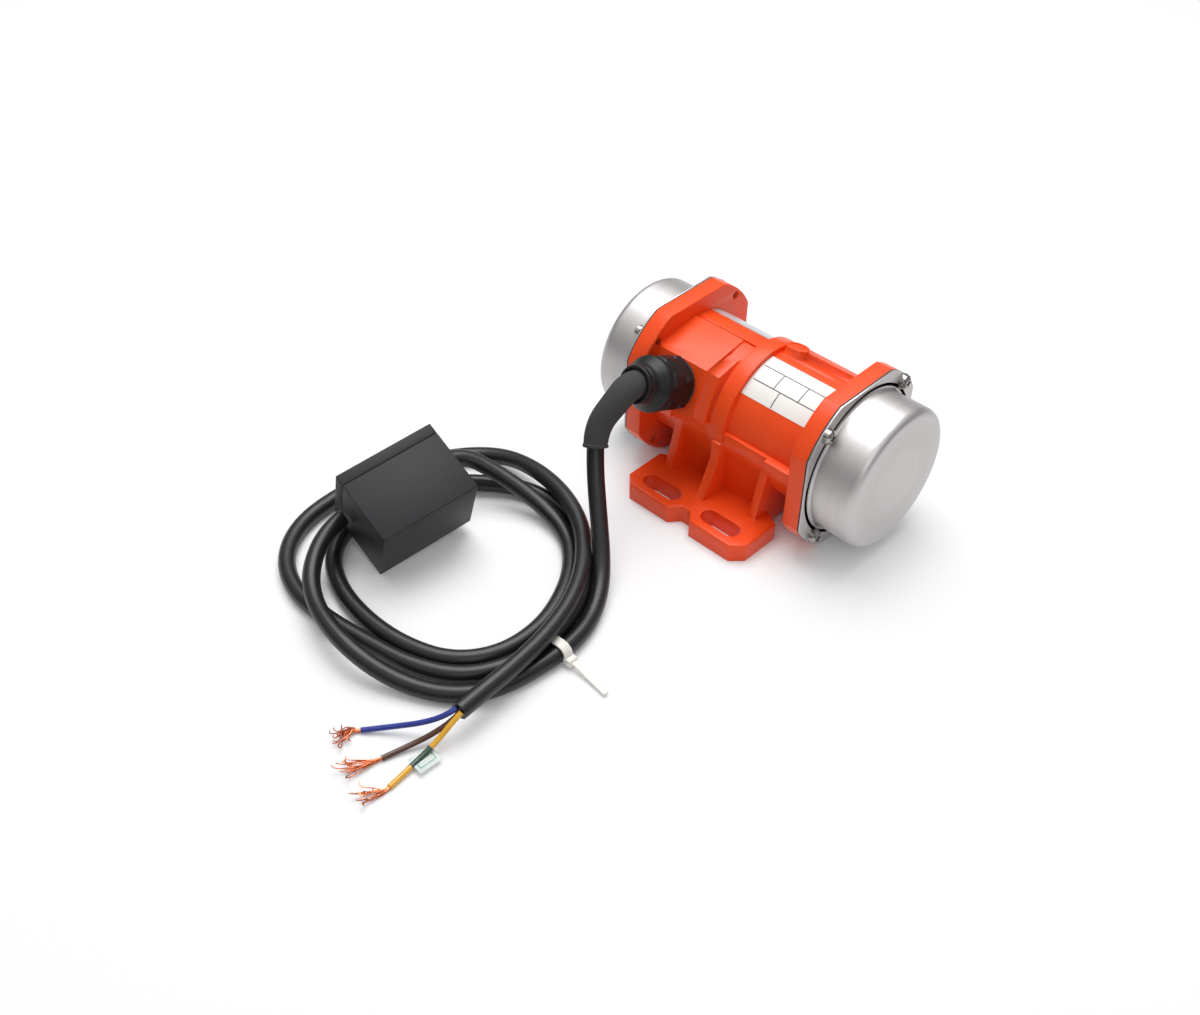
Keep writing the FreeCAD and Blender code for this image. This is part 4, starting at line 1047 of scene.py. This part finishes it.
@dataclass
class CoreTag:
    """The clear tag on the earth core: a flat flag with a plain printed frame on it, and the core's green run
    under it.
    """

    flag: Point = (8.4, 11.2, 0.16)
    centre: Point = (20.6, -232.3, 2.55)
    turn_deg: float = -2.0
    lean_deg: float = 6.0
    film_edge: float = 0.05
    run_from: float = 0.44
    run_radii: tuple[float, float] = (1.22, 1.27)
    frame_share: tuple[float, float] = (0.52, 0.7)
    line: float = 0.35
    ink: float = 0.04

    def place(self) -> Matrix:
        """Where the flag lies."""
        return (Matrix.Translation(self.centre) @ Matrix.Rotation(math.radians(self.turn_deg), 4, "Z")
                @ Matrix.Rotation(math.radians(self.lean_deg), 4, "Y"))

    def green_run(self) -> bmesh.types.BMesh:
        """The earth core's green run under the tag.

        Returns:
            A thin skin on the core.
        """
        core, long = Course(CORE_ROUTES["core_yellow"]), self.flag[1]
        start, (inner, outer) = core.length * self.run_from, self.run_radii
        skin = lathe([(start, inner), (start, outer), (start + long, outer), (start + long, inner)], 32,
                     closed=True)
        slice_across(skin, start, long, 10)
        return core.bend(skin)

    def printed_frame(self) -> bmesh.types.BMesh:
        """The four bare lines printed on the flag.

        Returns:
            The lines, two along the flag and two across it.
        """
        wide, long, thick = self.flag
        across, along = wide * self.frame_share[0], long * self.frame_share[1]
        top = (thick + self.ink) / 2
        lines = [block((self.line, along, self.ink), (side * across / 2, 0, top), 0.0) for side in (-1, 1)]
        lines += [block((across, self.line, self.ink), (0, side * along / 2, top), 0.0) for side in (-1, 1)]
        return joined(lines)

    def build(self) -> None:
        """Make the green run, the film and its print."""
        green = to_mesh(self.green_run(), "green_core_run")
        finished("green_core_run", green, GREEN_PVC)
        film, print_lines = block(self.flag, (0, 0, 0), self.film_edge), self.printed_frame()
        for bm in (film, print_lines):
            bmesh.ops.transform(bm, matrix=self.place(), verts=bm.verts)
        tag = finished("clear_core_tag", to_mesh(film, "clear_core_tag"), CLEAR_FILM)
        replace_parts(tag, "core_tag")
        finished("core_tag_print", to_mesh(print_lines, "core_tag_print"), GREEN_INK)


@dataclass
class CapacitorBox:
    """The black box and its side lid, set down on the coil at a slant."""

    centre: Point = (-89.0, -150.5, 9.9)
    turn_deg: Point = (9.0, 21.7, 82.2)
    length: float = 50.0
    width: float = 37.6
    height: float = 36.0
    lid: float = 5.6
    edge: float = 0.45

    def place(self) -> Matrix:
        """The box's frame, from its base's middle.

        Returns:
            What brings the upright box to its place on the coil.
        """
        rx, ry, rz = (math.radians(a) for a in self.turn_deg)
        turn = Matrix.Rotation(rx, 4, "X") @ Matrix.Rotation(ry, 4, "Y") @ Matrix.Rotation(rz, 4, "Z")
        return Matrix.Translation(self.centre) @ turn

    def build(self) -> None:
        """Make the box and the lid, each with its own broken edges so that the seam shows."""
        body = self.width - self.lid
        for name, node, wide, across in (("box_shell", "capacitor_box", body, -self.lid / 2),
                                         ("box_side_lid", "capacitor_box_lid", self.lid, body / 2)):
            bm = block((self.length, wide, self.height), (0, across, self.height / 2), self.edge)
            bmesh.ops.transform(bm, matrix=self.place(), verts=bm.verts)
            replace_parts(finished(name, to_mesh(bm, name, sharp_deg=50.0), BOX_ABS), node)


# --- studio ---------------------------------------------------------------------------------------


@dataclass
class Studio:
    """A plain pale floor, soft lamps and the camera."""

    lens: float = 43.34
    sensor: float = 36.0
    eye: Point = (317.0, -447.1, 458.7)
    azimuth: float = 43.42
    elevation: float = 41.74
    roll: float = 0.92
    aim: Point = (-0.02, -0.08, 0.03)
    # How bright the room is as light, and how much of the floor's white the camera and a mirror see.
    room_light: float = 0.36
    floor_seen: float = 0.6
    floor_mirrored: float = 0.75
    # Painted shade: ambient occlusion within this reach, in metres, deepened by the power, cuts the floor's
    # glow near the object, so that the lamps' real shadow on the matt floor shows deeper.
    shadow_reach: float = 0.05
    shadow_power: float = 1.4
    # Metal sees the white room dimmed: by the second pair at the heights of the first.
    dim_heights: tuple[float, float] = (0.15, 0.75)
    dim_shares: tuple[float, float] = (0.94, 0.12)

    def camera(self) -> None:
        """Set the camera."""
        az, el, roll = (math.radians(a) for a in (self.azimuth, self.elevation, self.roll))
        back = Vector((math.sin(az) * math.cos(el), -math.cos(az) * math.cos(el), math.sin(el)))
        right = (-back).cross(Vector((0, 0, 1))).normalized()
        up = right.cross(-back)
        level = math.cos(roll) * right + math.sin(roll) * up
        upright = -math.sin(roll) * right + math.cos(roll) * up
        data = bpy.data.cameras.new("studio_camera")
        data.lens, data.sensor_width, data.sensor_fit = self.lens, self.sensor, "HORIZONTAL"
        data.clip_start, data.clip_end = 0.01, 20.0
        camera = bpy.data.objects.new("studio_camera", data)
        bpy.context.scene.collection.objects.link(camera)
        camera.matrix_world = Matrix.Translation(Vector(self.eye) * MM) @ Matrix(
            (level, upright, back)).transposed().to_4x4()
        bpy.context.scene.camera = camera

    def floor(self) -> None:
        """Lay the pale floor, which keeps the lamps' shadows and reads as white to the camera; an ambient
        occlusion mask cuts its glow near the object, painted shade that deepens those shadows.
        """
        bm = bmesh.new()
        bmesh.ops.create_grid(bm, x_segments=1, y_segments=1, size=6.0)
        mesh = bpy.data.meshes.new("floor")
        bm.to_mesh(mesh)
        bm.free()
        floor = bpy.data.objects.new("floor", mesh)
        bpy.context.scene.collection.objects.link(floor)
        material = bpy.data.materials.new("white_card")
        material.use_nodes = True
        tree = material.node_tree
        tree.nodes.clear()
        matt = add_node(tree, "ShaderNodeBsdfDiffuse", values={"Color": linear("#F4F4F5")})
        glow = add_node(tree, "ShaderNodeEmission", values={"Color": linear("#FFFFFF"), "Strength": 1.0})
        # Painted shade: ambient occlusion cuts the floor's glow under and beside the object, for the camera
        # and for mirrors.
        painted_shade_ao = add_node(tree, "ShaderNodeAmbientOcclusion", values={"Distance": self.shadow_reach},
                            samples=8)
        painted_shade_factor = add_node(tree, "ShaderNodeMath", {0: painted_shade_ao.outputs["AO"]}, {1: self.shadow_power},
                       operation="POWER")
        path = add_node(tree, "ShaderNodeLightPath")
        straight = add_node(tree, "ShaderNodeMath", {0: painted_shade_factor.outputs[0], 1: path.outputs["Is Camera Ray"]},
                            operation="MULTIPLY")
        through = add_node(tree, "ShaderNodeMath",
                           {0: straight.outputs[0], 1: path.outputs["Is Transmission Ray"]},
                           operation="MAXIMUM")
        seen = add_node(tree, "ShaderNodeMath", {0: through.outputs[0]}, {1: self.floor_seen},
                        operation="MULTIPLY")
        near = add_node(tree, "ShaderNodeMath", {0: painted_shade_ao.outputs["AO"]}, {1: self.floor_mirrored},
                        operation="MULTIPLY")
        mirrored = add_node(tree, "ShaderNodeMath", {0: path.outputs["Is Glossy Ray"], 1: near.outputs[0]},
                            operation="MULTIPLY")
        share = add_node(tree, "ShaderNodeMath", {0: seen.outputs[0], 1: mirrored.outputs[0]},
                         operation="MAXIMUM")
        mixed = add_node(tree, "ShaderNodeMixShader",
                         {0: share.outputs[0], 1: matt.outputs[0], 2: glow.outputs[0]})
        add_node(tree, "ShaderNodeOutputMaterial", {"Surface": mixed.outputs[0]})
        mesh.materials.append(material)

    def seen_straight(self, tree: bpy.types.NodeTree) -> bpy.types.NodeSocket:
        """Return one for rays from the camera, a mirror or glass, and zero for light in the room.

        Args:
            tree: the world's node tree.

        Returns:
            The value socket.
        """
        path = add_node(tree, "ShaderNodeLightPath")
        mirror = add_node(tree, "ShaderNodeMath",
                          {0: path.outputs["Is Camera Ray"], 1: path.outputs["Is Glossy Ray"]},
                          operation="MAXIMUM")
        return add_node(tree, "ShaderNodeMath",
                        {0: mirror.outputs[0], 1: path.outputs["Is Transmission Ray"]},
                        operation="MAXIMUM").outputs[0]

    def world(self) -> None:
        """Fill the room with even light, white to the camera and dimmed toward the horizon in metal."""
        world = bpy.data.worlds.new("studio_room")
        world.use_nodes = True
        tree = world.node_tree
        tree.nodes.clear()
        room = add_node(tree, "ShaderNodeBackground",
                        values={"Color": linear("#F5F7FA"), "Strength": self.room_light})
        direction = add_node(tree, "ShaderNodeTexCoord").outputs["Generated"]
        level = add_node(tree, "ShaderNodeSeparateXYZ", {0: direction}).outputs["Z"]
        (low, high), (most, least) = self.dim_heights, self.dim_shares
        dusk = add_node(tree, "ShaderNodeMapRange", {"Value": level},
                        {"From Min": low, "From Max": high, "To Min": most, "To Max": least})
        mirrored = add_node(tree, "ShaderNodeLightPath").outputs["Is Glossy Ray"]
        dimmed = add_node(tree, "ShaderNodeMath", {0: dusk.outputs[0], 1: mirrored}, operation="MULTIPLY")
        strength = add_node(tree, "ShaderNodeMath", {1: dimmed.outputs[0]}, {0: 1.0}, operation="SUBTRACT")
        white = add_node(tree, "ShaderNodeBackground", {"Strength": strength.outputs[0]},
                         {"Color": linear("#FFFFFF")})
        mixed = add_node(tree, "ShaderNodeMixShader",
                         {0: self.seen_straight(tree), 1: room.outputs[0], 2: white.outputs[0]})
        add_node(tree, "ShaderNodeOutputWorld", {"Surface": mixed.outputs[0]})
        bpy.context.scene.world = world

    def lamp(self, name: str, at: Point, size: float, power: float) -> None:
        """Hang one soft lamp that points at the object.

        Args:
            name: the lamp's name.
            at: its place, in metres.
            size: its side, in metres.
            power: its power in watts.
        """
        data = bpy.data.lights.new(name, "AREA")
        data.shape, data.size, data.energy = "SQUARE", size, power
        lamp = bpy.data.objects.new(name, data)
        bpy.context.scene.collection.objects.link(lamp)
        lamp.location = at
        lamp.rotation_euler = (Vector(self.aim) - Vector(at)).to_track_quat("-Z", "Y").to_euler()

    def build(self) -> None:
        """Set the whole studio."""
        self.camera()
        self.floor()
        self.world()
        self.lamp("overhead_softbox", (-0.3, 0.2, 1.2), 1.0, 17.0)
        self.lamp("side_softbox", (0.95, -0.75, 0.8), 0.6, 2.0)
        bpy.context.scene.view_settings.view_transform = "Standard"


def dress_cad_nodes() -> None:
    """Give every CAD node its finish."""
    for name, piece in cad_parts.items():
        finish, slot = CAD_FINISHES[name]
        piece.data.materials.clear()
        piece.data.materials.append(finish.build())


def main() -> None:
    """Build everything in order."""
    logging.basicConfig(level=logging.INFO, format="%(name)s: %(message)s")
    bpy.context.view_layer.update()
    dress_cad_nodes()
    Studio().build()
    Cables().build()
    CableTie().build()
    CopperEnds().build()
    CoreTag().build()
    Casting().build()
    Labels().build()
    EndCovers().build()
    CableGland().build()
    CapacitorBox().build()


if __name__ == "__main__":
    main()
